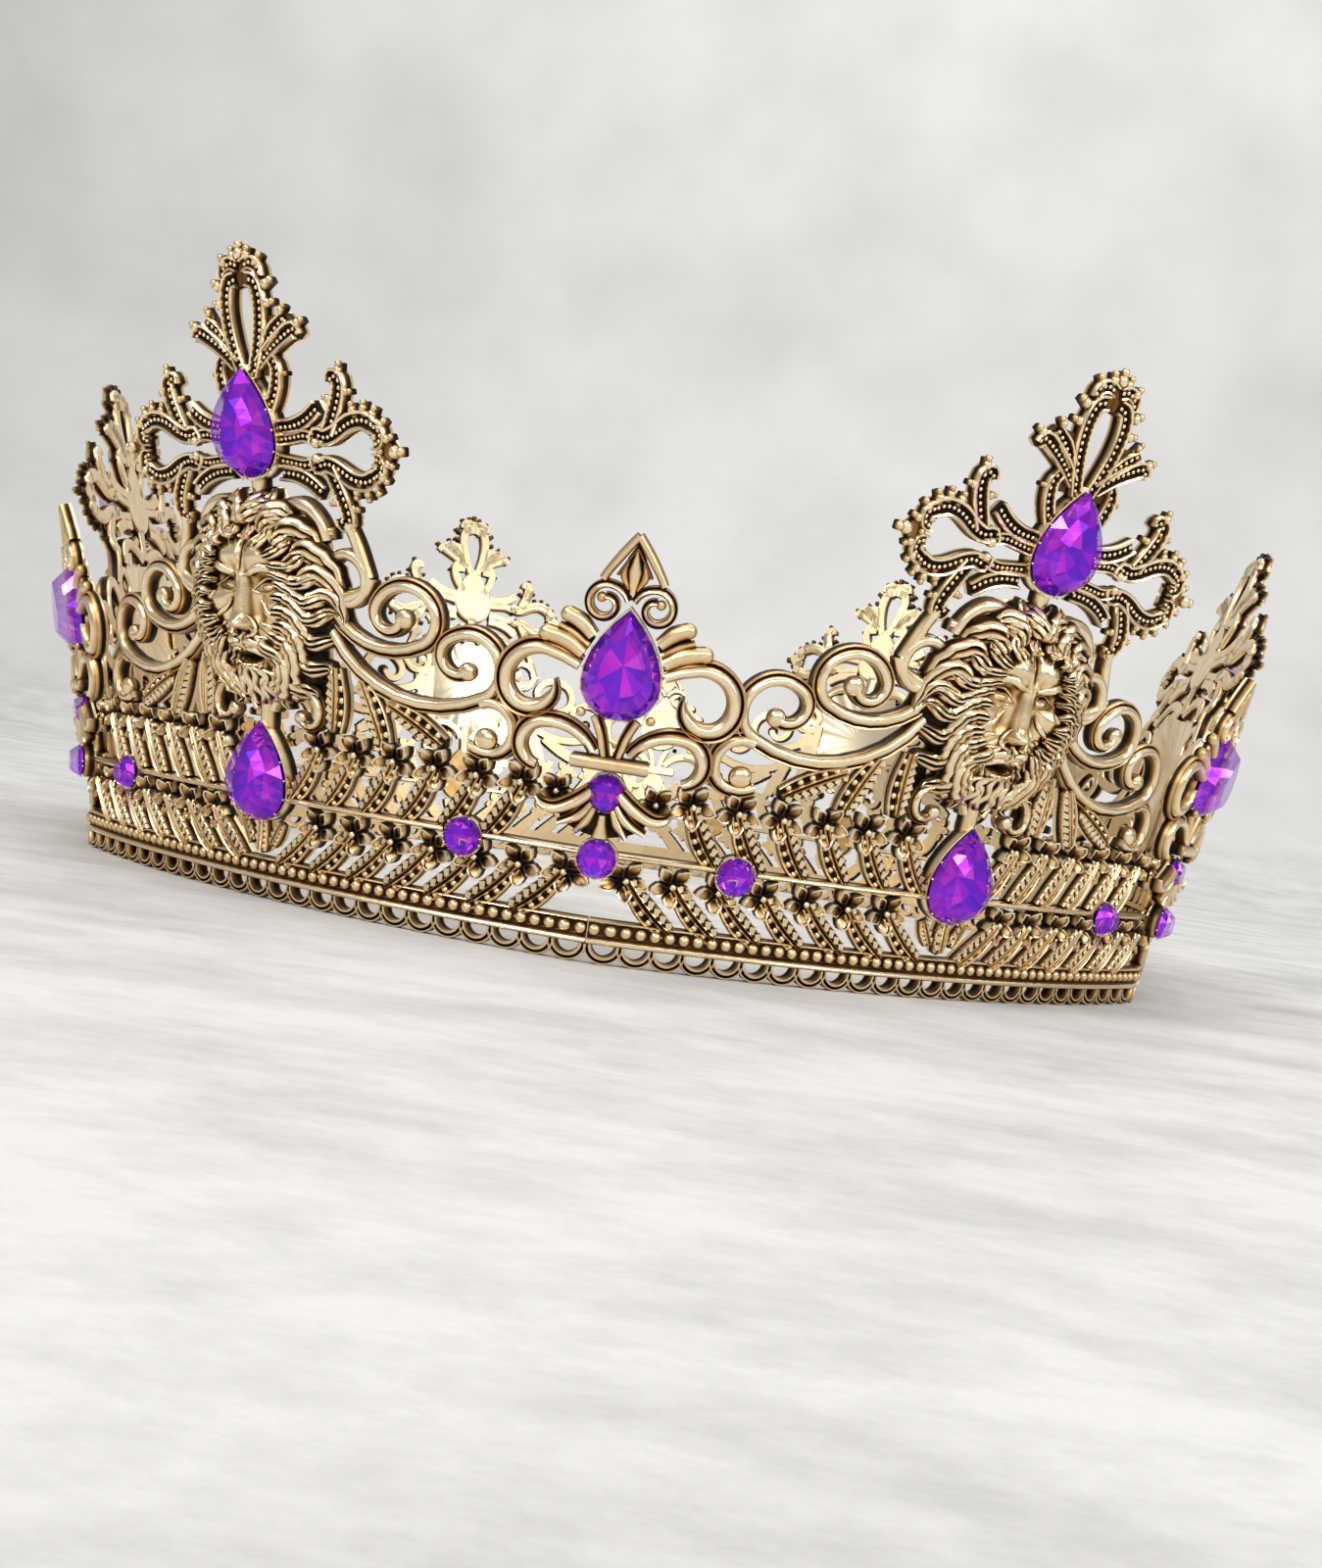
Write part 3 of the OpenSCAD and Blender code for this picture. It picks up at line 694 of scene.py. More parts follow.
def mask_base():
    """A disc spun from its radius and pushed out into the face"""
    rings, spokes = 54, 200
    bm = bmesh.new()
    row = [bm.verts.new((k/rings, 0, 1)) for k in range(rings + 1)]
    row += [bm.verts.new((1, 0, -1)), bm.verts.new((0, 0, -1))]
    edges = [bm.edges.new(pair) for pair in zip(row, row[1:])]
    bmesh.ops.spin(bm, geom=[*row, *edges], cent=(0, 0, 0), axis=(0, 0, 1), angle=2*pi, steps=spokes,
                   use_merge=True)
    bmesh.ops.remove_doubles(bm, verts=bm.verts, dist=1e-5)
    made = finished(bm)
    flat_x, flat_y, side = made.points.T
    radius = np.hypot(flat_x, flat_y)
    angle = np.arctan2(flat_y, flat_x)
    reach = mask_outline(angle)*radius
    x = MASK_A*reach*np.cos(angle)
    z = MASK_Z + MASK_B*reach*np.sin(angle)
    front = side > 0
    out = face_rise(x, z)
    # The back is hollow, as a casting's is
    w = np.where(front, out, -1.1 + 2.2*np.sqrt(np.clip(1 - 1.15*radius**2, 0, 1)))
    w = np.where(front & (radius > 0.999), 0.0, w)
    made.points = np.stack([x, z, w], axis=1)
    # A place that is lower than those round it keeps its patina, and so does all between the locks
    step = 0.45
    around = sum(face_rise(x + dx, z + dz) for dx, dz in ((step, 0), (-step, 0), (0, step), (0, -step)))/4
    hollow = np.where(front, out - around, 0.2)
    covered = np.clip((radius - 0.6)/0.14, 0, 1)*front
    made.rise = np.clip(0.58 + 4.5*hollow, DARK, 1.2)*(1 - covered) + DARK*covered
    return made


def on_mask(p):
    """How far the mask stands out at a point of a line"""
    return max(float(face_rise(np.array(p.x), np.array(p.y))), 0.0)


# Rings of locks: radius where they start and end, width and lift
LOCK_RINGS = [(0.7, 1.13, 2.8, 0.5), (0.58, 1.0, 2.4, 0.9), (0.46, 0.86, 1.9, 1.2)]
LOCK = [(-1, -1.4), (-0.96, 0.0), (-0.7, 0.6), (-0.45, 0.75), (-0.26, 0.1), (-0.05, 0.75), (0.2, 0.75),
        (0.4, 0.1), (0.58, 0.6), (0.76, 0.5), (0.96, 0.0), (1, -1.4)]
# The flow that all locks follow begins at this share of the oval and runs over this much of it
FLOW_FROM, FLOW_OVER = 0.45, 0.65


def lock(start, radii, width, lift):
    """A wavy ribbon of hair with two dark combed lines; none crosses another, as all follow one flow"""
    steps = 12
    up = max(0, sin(start))**2
    inner, outer = radii[0] + 0.13*up, radii[1] - 0.08*up
    fall = 0.25 + 0.35*max(0, sin(2*start))
    line, lifts = [], []
    for k in range(steps + 1):
        t = k/steps
        radius = inner + (outer - inner)*t
        flow = (radius - FLOW_FROM)/FLOW_OVER
        wave = 0.1*sin(8.5*flow + 2.5*start)*(0.6 + 0.6*flow)
        angle = start - fall*flow**1.2 + wave
        p = Vector((MASK_A*radius*cos(angle), MASK_Z + MASK_B*radius*sin(angle)))
        line.append(p)
        lifts.append(on_mask(p) + lift*sin(pi*min(1, 0.08 + t**0.7)))
    made = bar(line, LOCK, [width*0.4, width*0.9, width, width, width*0.75, 0.15], lifts)
    made.rise = np.where(made.rise > -1, np.interp(made.rise, [0.2, 0.42], [-0.3, 1.0]), made.rise)
    return made


def strand(points, steps, profile, width, gain):
    """A raised line on the face, with patina along its foot"""
    line = through(points, steps)
    made = bar(line, profile, width, [on_mask(p) for p in line])
    made.rise = np.where(made.rise > -0.5, made.rise*gain - 0.3, made.rise)
    return made


def mane():
    """The locks, the lines of the face and a curly beard"""
    count = bpy.context.scene.crown_sizes.locks
    half = []
    for ring, (inner, outer, width, lift) in enumerate(LOCK_RINGS):
        for i in range(count):
            start = radians(93 - (162 - 8*ring)*(i + 0.35*ring)/count)
            long = 0.06*sin(5*i + 2*ring)
            half.append(lock(start, (inner, outer + long), width*(1 + 0.22*sin(7*i + ring)), lift))
    for points, width, crest in FACE_LINES:
        half.append(strand(points, 4, round_profile(crest, -0.9, 4, -0.05), width, 1.6/crest))
    for i in range(6):
        x, wave = 0.45 + 0.95*i, 0.4*sin(2.3*i)
        points = [(x*0.8, 31.2 - 0.12*i), (x + 0.4 + wave, 29.9), (x*0.9 - 0.1, 28.6),
                  (x + 0.45 - wave, 27.3), (x*0.95, 26.1 + 0.25*i)]
        half.append(strand(points, 3, round_profile(0.6, -1.2, 4, 0.0), [0.5, 1.1, 0.9, 1.0, 0.15], 1.9))
    return both(gathered(half))


# Settings of the stones
SEAT = 0.4
DROP_GIRDLE = 1.6
DROP_TABLE = 4.7
ROUND_GIRDLE = 1.3
ROUND_TABLE = 2.8
CUP_WALL = 0.35
# The cup reaches under the stone's edge, and ends below its girdle
CUP_GAP = -0.25
CUP_DROP = 0.55
CUP_FOOT = -1.2
# Claws are tiny beads along the stone's edge
CLAW = 0.36
CLAW_DROP = 0.1
DROP_CLAW_PITCH = 2.6
ROUND_CLAW_PITCH = 3.2
# A teardrop is widest at this share of its height
WIDEST = 0.33


def drop_outline(w, h, n):
    """Corners of a teardrop round its own middle, from the bottom up the right side"""
    a = w/2
    low = [(a*sin(pi/2*i/n), WIDEST*h*(1 - cos(pi/2*i/n))) for i in range(n)]
    high = []
    for i in range(n + 1):
        t = i/n
        high.append((a*(1 - t)**2 + 2*a*t*(1 - t),
                     WIDEST*h*(1 - t)**2 + 4*WIDEST*h*t*(1 - t) + h*t*t))
    right = [(x, z - h/2) for x, z in low + high]
    return right + [(-x, z) for x, z in reversed(right[1:-1])]


def circle_outline(d, n):
    return [(d/2*cos(2*pi*i/n), d/2*sin(2*pi*i/n)) for i in range(n)]


def cup(outline, low, high):
    """A thin setting with a sunk seat"""
    bm = bmesh.new()
    face = bm.faces.new([bm.verts.new((*q, low)) for q in outline])
    for rise, rim in ((high - low, 0.08), (0.1, CUP_WALL - 0.16), (0, 0.08)):
        face = extruded(bm, face)
        bmesh.ops.translate(bm, vec=(0, 0, rise), verts=face.verts)
        bmesh.ops.inset_region(bm, faces=[face], thickness=rim, use_even_offset=True)
    face = extruded(bm, face)
    bmesh.ops.translate(bm, vec=(0, 0, SEAT - high - 0.1), verts=face.verts)
    return finished(bm)


def drop_setting(lift=0.0):
    """A teardrop cup with tiny claws along its edge"""
    s = sizes()
    grow = 2*(CUP_WALL + CUP_GAP)
    outline = drop_outline(s["drop_width"] + grow, s["drop_height"] + grow, 9)
    edge = [Vector(q) for q in drop_outline(s["drop_width"], s["drop_height"], 9)]
    claws = beads(edge[:15], CLAW, DROP_CLAW_PITCH, DROP_GIRDLE - CLAW_DROP, 1.2)
    return gathered([cup(outline, CUP_FOOT + lift, DROP_GIRDLE - CUP_DROP), both(claws)])


def round_setting(d, lift=0.0):
    """A round cup with claws all round"""
    outline = circle_outline(d + 2*(CUP_WALL + CUP_GAP), 20)
    edge = [Vector(q) for q in circle_outline(d, 20)]
    claws = beads(edge, CLAW, ROUND_CLAW_PITCH, ROUND_GIRDLE - CLAW_DROP)
    return gathered([cup(outline, CUP_FOOT + lift, ROUND_GIRDLE - CUP_DROP), claws])


def panel_drawing():
    """One whole panel; its ends are cut on the plane through the joint"""
    made = gathered([
        band(), beside_mask(), cross(), mask_base(), mane(),
        placed(drop_setting(), 0, BAND_STONE_Z), placed(drop_setting(), 0, CROSS_STONE_Z),
        both(placed(round_setting(sizes()["round_width"]), ROUND_X, ROUND_Z))])
    x, z, w = made.points.T
    near = np.clip(np.abs(x) - MITRE_FROM, 0, 1)*(z < RAIL_Z)
    made.points[:, 0] += np.sign(x)*near*(w*MITRE + lean(z)*0.5)
    return made


# Fleur-de-lis, drawn on the wall over a joint: lines and widths of its broad bars
FLEUR_LIFT = 1.3
FLEUR_BACK = -1.1
FLEUR_BARS = [
    (arcs((5.0, 36.5), 27, [[16, 15], [4.2, 62], [3.9, 82], [3.1, 155]], -1),
     [1.9, 2.3, 2.4, 2.4, 2.4, 2.3, 1.9, 0.3]),
    (arcs((2.1, 26.4), 59, [[6.3, 69], [3.1, 59], [2.8, 101]], -1), [1.6, 2.1, 2.2, 2.0, 1.3]),
    (arcs((0.35, 44.4), 68, [[2.7, 68], [2.1, 90], [1.8, 90], [1.45, 80], [1.1, 110]], -1),
     [0.9, 1.1, 1.1, 1.0, 0.9]),
]


def fleur_drawing():
    """One fleur-de-lis with its three settings"""

    def smooth(crest, sides=6):
        return round_profile(crest, FLEUR_BACK, sides)

    def moulded(crest, lip=-1):
        return moulded_profile(crest, FLEUR_BACK, lip)

    half = [bar(line, moulded(1.15), width) for line, width in FLEUR_BARS]
    half += [bar(through(points), profile, width) for points, profile, width in (
        ([(0, 51.8), (0.95, 50.6), (1.9, 49.3), (2.85, 47.9), (3.6, 46.6)], smooth(0.8), [1.0, 1.1, 1.0]),
        ([(0, 50.4), (1.0, 48.9), (2.0, 47.2)], smooth(0.5, 4), 0.35),
        ([(0.5, 45.8), (1.25, 47.3), (0.9, 48.9)], smooth(0.55, 4), [0.6, 1.0, 0.3]),
        ([(3.9, 39.9), (5.4, 41.3), (7.2, 42.1)], smooth(0.95), [1.5, 1.9, 1.7]),
        ([(4.3, 38.7), (6.2, 39.9), (8.0, 40.7)], smooth(0.5, 4), [0.8, 0.9, 0.7]),
        ([(4.8, 37.7), (7.0, 39.0), (9.5, 39.6)], smooth(0.95), [1.6, 2.0, 1.8]),
        ([(5.0, 36.7), (7.4, 37.9), (9.6, 38.3)], smooth(0.5, 4), [0.7, 0.8, 0.6]),
        ([(2.4, 30.6), (1.4, 28.4), (0.7, 25.6)], moulded(0.8, 1), [1.4, 1.3]),
        ([(8.9, 31.6), (8.9, 29.4)], smooth(0.2), 1.2),
        ([(1.7, 21.7), (3.6, 20.1), (5.8, 19.0), (7.4, 19.2), (8.2, 20.2)], moulded(1.1),
         [1.9, 2.1, 1.8, 1.4, 0.3]),
        ([(1.6, 20.2), (3.0, 18.4), (5.3, 17.2)], moulded(1.0), [1.3, 1.7, 0.8]),
        ([(1.1, 19.6), (1.9, 17.8), (3.1, 16.3)], smooth(0.95), [0.9, 1.3, 0.7]))]
    half += [
        placed(ball(1.25), 3.45, 44.5, 0.3), placed(ball(1.2), 4.1, 31.0, 1.0),
        placed(dome(1.9, 0.95), 7.1, 42.0), placed(dome(2.0, 0.95), 9.4, 39.5),
        ground([(3.7, 39.6), (5.4, 41.2), (6.8, 41.5), (9.0, 39.7), (9.2, 38.6), (5.2, 36.9)],
               FLEUR_BACK, -0.3)]
    tail = [(1.8, 19.2), (2.8, 20.4), (5.6, 19.2), (5.0, 17.4), (2.8, 16.4)]
    tail = [(0, 18.8), *tail, (0, 15.8), *((-x, z) for x, z in reversed(tail))]
    spade = [(0, 51.0), (-1.1, 49.2), (-0.9, 46.4), (0, 45.2), (0.9, 46.4), (1.1, 49.2)]
    edge = [(-1, FLEUR_BACK), (-1, 0.9), (-0.86, 1.35), (-0.4, 1.6)]
    crossbar = bar([Vector((x, 25.1)) for x in (-4.7, -4.5, -2, 2, 4.5, 4.7)],
                   edge + [(-u, w) for u, w in reversed(edge)], [1.1, 1.7, 1.7, 1.7, 1.7, 1.1])
    # The crossbar is painted dark on its sides and bright only on its crest: painted shade that outlines it
    crossbar.rise = np.interp(crossbar.rise, [FLEUR_BACK, 0.9, 1.35, 1.6], [BACK, -0.2, 0.1, 0.8])
    made = gathered([
        both(gathered(half)), ground(tail, FLEUR_BACK, -0.3), ground(spade, FLEUR_BACK, -0.2, -0.3),
        crossbar,
        bar(through([(0, 45.2), (0, 47.8), (0, 50.2)]), smooth(0.85), [0.8, 1.7, 0.3]),
        bar(through([(0, 18.8), (0, 17.6), (0, 16.0)]), smooth(0.9), [1.0, 1.3, 2.2]),
        placed(drop_setting(0.4), 0, FLEUR_STONE_Z, -FLEUR_LIFT),
        placed(round_setting(FLEUR_ROUND, 0.4), 0, FLEUR_ROUND_Z, -FLEUR_LIFT),
        placed(round_setting(sizes()["round_width"], 0.4), 0, JOINT_ROUND_Z, JOINT_LIFT - FLEUR_LIFT)])
    made.points[:, 2] += FLEUR_LIFT
    made.rise[made.rise < FLEUR_BACK + 0.35] = BACK
    # The broad bars are painted darker on their flanks than on their crests: some patina, and painted shade
    # that makes them look round
    flank = 0.1
    made.rise = np.where(made.rise > flank, flank + (made.rise - flank)*0.5, made.rise)
    return made


# Making the pieces
def new_mesh(name, drawing, onto):
    mesh = bpy.data.meshes.new(name)
    points = onto(drawing.points)*MM
    mesh.from_pydata(points.tolist(), [], drawing.faces)
    layer = mesh.attributes.new("rise", "FLOAT", "POINT")
    layer.data.foreach_set("value", drawing.rise.astype(np.float32))
    mesh.shade_smooth()
    mesh.set_sharp_from_angle(angle=radians(50))
    return mesh


def show(name, mesh, nodes, materials):
    """Adds a finished piece, which stands for nodes of the frame"""
    piece = bpy.data.objects.new(name, mesh)
    bpy.context.scene.collection.objects.link(piece)
    for material in materials:
        mesh.materials.append(material)
    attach(piece, "root")
    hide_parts(*nodes)


def cast_six(name, drawing, onto, turn_offset):
    """Six turned copies of one casting"""
    gold = bpy.data.materials.get("antique_gold_plated_zinc") or antique_gold()
    master = new_mesh(name, drawing, onto)
    for k in range(1, SIDES + 1):
        copy = master.copy()
        copy.transform(Matrix.Rotation(radians(turn_offset + TURN*k), 4, "Z"))
        show(f"cast_{name}_{k}", copy, [f"{name}_{k}"], [gold])
    bpy.data.meshes.remove(master)


# Materials
def feed(tree, node, inputs):
    """Sets inputs of a node: a node stands for its first output"""
    for name, value in inputs.items():
        if isinstance(value, bpy.types.Node):
            value = value.outputs[0]
        if isinstance(value, bpy.types.NodeSocket):
            tree.links.new(value, node.inputs[name])
        else:
            node.inputs[name].default_value = value


def add(tree, kind, inputs=None, **settings):
    """Adds a shader node with its settings and inputs"""
    node = tree.nodes.new("ShaderNode" + kind)
    for name, value in settings.items():
        setattr(node, name, value)
    feed(tree, node, inputs or {})
    return node


def new_material(name):
    """A material with its node tree, principled shader, object coordinates and the user's colours"""
    material = bpy.data.materials.new(name)
    material.use_nodes = True
    tree = material.node_tree
    coordinates = add(tree, "TexCoord").outputs["Object"]
    return material, tree, tree.nodes["Principled BSDF"], coordinates, bpy.context.scene.crown_colours


def ramp_colours(node, stops):
    """Sets the stops of a colour ramp"""
    elements = node.color_ramp.elements
    while len(elements) < len(stops):
        elements.new(1.0)
    for element, (place, colour) in zip(elements, stops):
        element.position = place
        element.color = (*colour, 1.0)


def antique_gold():
    """Zinc casting plated in antique gold: worn bright crests with a painted highlight on sharp edges, black
    patina left in the recesses
    """
    material, tree, shader, coordinates, colours = new_material("antique_gold_plated_zinc")
    rise = add(tree, "Attribute", attribute_name="rise").outputs["Fac"]
    depth = add(tree, "MapRange",
                {"Value": rise, "From Min": DARK, "From Max": BRIGHT, "To Max": 0.82})
    back = add(tree, "MapRange", {"Value": rise, "From Min": -1.05, "From Max": -1.3, "To Max": 0.67})
    open_depth = add(tree, "Math", {0: depth, 1: back}, operation="MAXIMUM")
    crevice = add(tree, "AmbientOcclusion", {"Distance": 0.5*MM}, samples=4, only_local=True)
    cleared = add(tree, "MapRange",
                  {"Value": crevice.outputs["AO"], "From Min": 0.22, "From Max": 0.68})
    # Sharp convex edges are painted brighter: wear of the plating, and a painted highlight
    bend = add(tree, "NewGeometry").outputs["Pointiness"]
    rubbed_and_painted_highlight = add(tree, "MapRange",
                 {"Value": bend, "From Min": 0.5, "From Max": 0.58, "To Max": 0.25})
    # Wear comes in patches of about 2 mm
    wear = add(tree, "TexNoise", {"Vector": coordinates, "Scale": 1/(2.2*MM), "Detail": 3.0})
    clean = add(tree, "Math", {0: open_depth, 1: cleared}, operation="MULTIPLY")
    uneven = add(tree, "Math", {0: wear, 1: 0.5}, operation="SUBTRACT")
    spread = add(tree, "Math", {0: uneven, 1: 0.35, 2: clean}, operation="MULTIPLY_ADD")
    polished = add(tree, "Math", {0: rubbed_and_painted_highlight, 1: open_depth, 2: spread}, operation="MULTIPLY_ADD")
    colour = add(tree, "ValToRGB", {"Fac": polished})
    ramp_colours(colour, [(0.0, colours.patina), (0.28, colours.gold_shadow), (0.6, colours.gold),
                          (1.0, colours.gold_bright)])
    metal = add(tree, "MapRange",
                {"Value": spread, "From Min": 0.0, "From Max": 0.35, "To Min": 0.35, "To Max": 1.0})
    dull = add(tree, "MapRange",
               {"Value": spread, "From Min": 0.0, "From Max": 0.8, "To Min": 0.6, "To Max": 0.24})
    # Casting grain of half a millimetre, drawn coarser than the real one so that it shows
    grain = add(tree, "TexNoise", {"Vector": coordinates, "Scale": 1/(0.55*MM), "Detail": 2.0})
    bump = add(tree, "Bump", {"Height": grain, "Strength": 0.25, "Distance": 0.06*MM})
    feed(tree, shader, {"Base Color": colour, "Metallic": metal, "Roughness": dull, "Normal": bump,
                        "Specular IOR Level": 0.2})
    return material


def crystal():
    """Cut glass: polished, each facet painted its own lighter or darker violet as painted light play, and
    clear over the table
    """
    material, tree, shader, _, colours = new_material("cut_crystal")
    facet = add(tree, "Attribute", attribute_name="facet").outputs["Fac"]
    slant = add(tree, "LayerWeight", {"Blend": 0.5}).outputs["Facing"]
    edge_on = add(tree, "Math", {0: slant, 1: 3.0}, operation="POWER")
    veil = add(tree, "MapRange", {"Value": facet, "From Max": 0.3, "To Min": 0.1, "To Max": 0.42})
    strength = add(tree, "Math", {0: edge_on, 1: 0.7, 2: veil},
                   operation="MULTIPLY_ADD", use_clamp=True)
    colour = add(tree, "ValToRGB", {"Fac": facet})
    ramp_colours(colour, [(0.0, colours.stone_light), (0.3, colours.stone_edge), (0.65, colours.stone_heart),
                          (1.0, colours.stone_light)])
    feed(tree, shader, {"Base Color": colour, "Alpha": strength, "Metallic": 0.9, "Roughness": 0.04,
                        "Coat Weight": 1.0})
    return material


def foil():
    """Silvered back of the stones, dyed violet and magenta: each facet painted its own lighter or darker
    tone as painted light play
    """
    material, tree, shader, coordinates, colours = new_material("dyed_foil_back_painted_facet_light")
    facet = add(tree, "Attribute", attribute_name="facet").outputs["Fac"]
    cloud = add(tree, "TexNoise", {"Vector": coordinates, "Scale": 1/(3.0*MM), "Detail": 1.0})
    drift = add(tree, "Math", {0: cloud, 1: 0.5}, operation="SUBTRACT")
    mixed = add(tree, "Math", {0: drift, 1: 0.5, 2: facet}, operation="MULTIPLY_ADD")
    colour = add(tree, "ValToRGB", {"Fac": mixed})
    ramp_colours(colour, [(0.0, colours.stone_deep), (0.35, colours.stone_edge), (0.7, colours.stone_heart),
                          (1.0, colours.stone_light)])
    feed(tree, shader, {"Base Color": colour, "Metallic": 0.4, "Roughness": 0.25})
    return material


def pale_floor():
    """Pale washed board: matt, with faint grey streaks on the table and soft clouds on the wall"""
    material, tree, shader, coordinates, colours = new_material("pale_washed_board")
    clouds = add(tree, "TexNoise", {"Vector": coordinates, "Scale": 1/(95*MM), "Detail": 7.0})
    along = add(tree, "Mapping", {"Vector": coordinates, "Scale": (0.8, 1.6, 1.0)})
    streaks = add(tree, "TexNoise",
                  {"Vector": along, "Scale": 1/(30*MM), "Detail": 9.0, "Roughness": 0.75})
    height = add(tree, "SeparateXYZ", {"Vector": coordinates}).outputs["Z"]
    table = add(tree, "MapRange", {"Value": height, "From Max": 0.05, "To Min": 1.0, "To Max": 0.0})
    faint = add(tree, "Math", {0: clouds, 1: 0.32, 2: 0.375}, operation="MULTIPLY_ADD")
    pattern = add(tree, "Mix", {0: table, 2: faint, 3: streaks})
    colour = add(tree, "ValToRGB", {"Fac": pattern})
    ramp_colours(colour, [(0.36, tuple(0.74*c for c in colours.floor)), (0.58, colours.floor)])
    feed(tree, shader, {"Base Color": colour, "Roughness": 0.85})
    return material


# Stones: the crown is clear and the pavilion below it is silvered. Shares are of the outline
TABLE_SHARE = 0.58
BREAK_SHARE = 0.82
BREAK_HEIGHT = 0.62
GIRDLE_THICK = 0.15
PAVILION_SHARE = 0.6
PAVILION_HEIGHT = 0.4
CULET = 0.12
# Facets take their painted tones in steps of this, so that neighbours differ as cut facets catching the
# light do
FACET_STEP = 0.382


def cut_stone(name, outline_of, girdle, table, steps):
    """A cut stone as the hull of its corners"""

    def ring(share, w, every=1, half=False):
        row = [Vector((*q, w)) for q in outline_of(share, steps)]
        if half:
            row = [(a + b)/2 for a, b in zip(row, row[1:] + row[:1])]
        return row[::every]

    bm = bmesh.new()
    rows = [ring(0.02, SEAT + CULET)[:1], ring(PAVILION_SHARE, SEAT + PAVILION_HEIGHT, 2),
            ring(1, girdle - GIRDLE_THICK), ring(1, girdle),
            ring(BREAK_SHARE, girdle + BREAK_HEIGHT*(table - girdle), half=True), ring(TABLE_SHARE, table)]
    bmesh.ops.convex_hull(bm, input=[bm.verts.new(q) for row in rows for q in row])
    bmesh.ops.dissolve_limit(bm, angle_limit=radians(1), verts=bm.verts, edges=bm.edges)
    bmesh.ops.recalc_face_normals(bm, faces=bm.faces)
    mesh = bpy.data.meshes.new(name)
    # The table is painted the palest violet as a painted glint, the pavilion faces near the girdle darker as
    # painted shade, and the other facets lighter or darker in turn as painted light play; the violet and
    # magenta are the stone's own
    values = []
    for i, face in enumerate(bm.faces):
        face.material_index = 0 if face.normal.z > 0.05 else 1
        shade = (i*FACET_STEP) % 1.0
        if face.material_index:
            deep = face.calc_center_median().z < SEAT + 0.35
            values.append(shade*0.85 + 0.15 if deep else shade*0.55)
        else:
            values.append(0.0 if face.normal.z > 0.99 else 0.3 + 0.7*shade)
    bm.to_mesh(mesh)
    bm.free()
    layer = mesh.attributes.new("facet", "FLOAT", "FACE")
    layer.data.foreach_set("value", values)
    return mesh


def drop_mesh():
    w, h = sizes()["drop_width"], sizes()["drop_height"]
    return cut_stone("teardrop", lambda share, n: drop_outline(w*share, h*share, n),
                     DROP_GIRDLE, DROP_TABLE, 5)


def round_mesh(d):
    return cut_stone("round", lambda share, n: circle_outline(d*share, n), ROUND_GIRDLE, ROUND_TABLE, 12)


def stone_row(mesh, place, turn_offset, names, onto, up=0.0):
    """Six equal stones round the crown, each standing for one node"""
    at = wall_frame(*place, onto) @ Matrix.Translation((0, 0, up))
    scale = Matrix.Scale(MM, 4)
    finishes = [bpy.data.materials.get("cut_crystal") or crystal(),
                bpy.data.materials.get("dyed_foil_back_painted_facet_light") or foil()]
    for k in range(1, SIDES + 1):
        node = names.format(k)
        copy = mesh.copy()
        copy.transform(Matrix.Rotation(radians(turn_offset + TURN*k), 4, "Z") @ scale @ at)
        show(node + "_cut", copy, [node], finishes)


class CROWN_OT_panels(bpy.types.Operator):
    """Six cast panels with band, scrolls, lion mask and lace cross"""
    bl_idname = "crown.panels"
    bl_label = "Cast panels"

    def execute(self, context):
        cast_six("panel", panel_drawing(), onto_panel, TURN/2)
        return {"FINISHED"}


class CROWN_OT_fleurs(bpy.types.Operator):
    """Six fleurs-de-lis over the joints of the panels"""
    bl_idname = "crown.fleurs"
    bl_label = "Fleurs-de-lis"

    def execute(self, context):
        cast_six("fleur", fleur_drawing(), onto_fleur, 0)
        return {"FINISHED"}


class CROWN_OT_drop_stones(bpy.types.Operator):
    """Teardrop stones on the crosses, the band and the fleurs-de-lis"""
    bl_idname = "crown.drop_stones"
    bl_label = "Teardrop stones"

    def execute(self, context):
        mesh = drop_mesh()
        stone_row(mesh, (0, CROSS_STONE_Z), TURN/2, "cross_stone_{}", onto_panel)
        stone_row(mesh, (0, BAND_STONE_Z), TURN/2, "band_stone_{}", onto_panel)
        stone_row(mesh, (0, FLEUR_STONE_Z), 0, "fleur_stone_{}", onto_fleur)
        return {"FINISHED"}


class CROWN_OT_round_stones(bpy.types.Operator):
    """Round stones on the rail, the joints and the tails of the fleurs-de-lis"""
    bl_idname = "crown.round_stones"
    bl_label = "Round stones"

    def execute(self, context):
        mesh = round_mesh(sizes()["round_width"])
        stone_row(mesh, (0, JOINT_ROUND_Z), 0, "joint_round_{}", onto_fleur, JOINT_LIFT)
        stone_row(mesh, (-ROUND_X, ROUND_Z), TURN/2, "rail_round_a{}", onto_panel)
        stone_row(mesh, (ROUND_X, ROUND_Z), TURN/2, "rail_round_b{}", onto_panel)
        stone_row(round_mesh(FLEUR_ROUND), (0, FLEUR_ROUND_Z), 0, "fleur_round_{}", onto_fleur)
        return {"FINISHED"}


# Camera: where it stands in millimetres, its turn as a rotation vector, and the photograph's focal
# length, middle line and height in pixels
CAMERA_AT = (10.43, -274.46, 24.93)
CAMERA_TURN = (1.6081, 0.1343, 0.1017)
FOCAL_PIXELS = 1482.56
CENTRE_Y_PIXELS = 849.84
PHOTO_H = 1600
SENSOR = 36.0
# Stage in metres: the floor runs from near to far and bends up into the wall
NEAR, FAR, WALL, COVE, WIDTH = -1.4, 0.75, 1.9, 0.35, 4.0
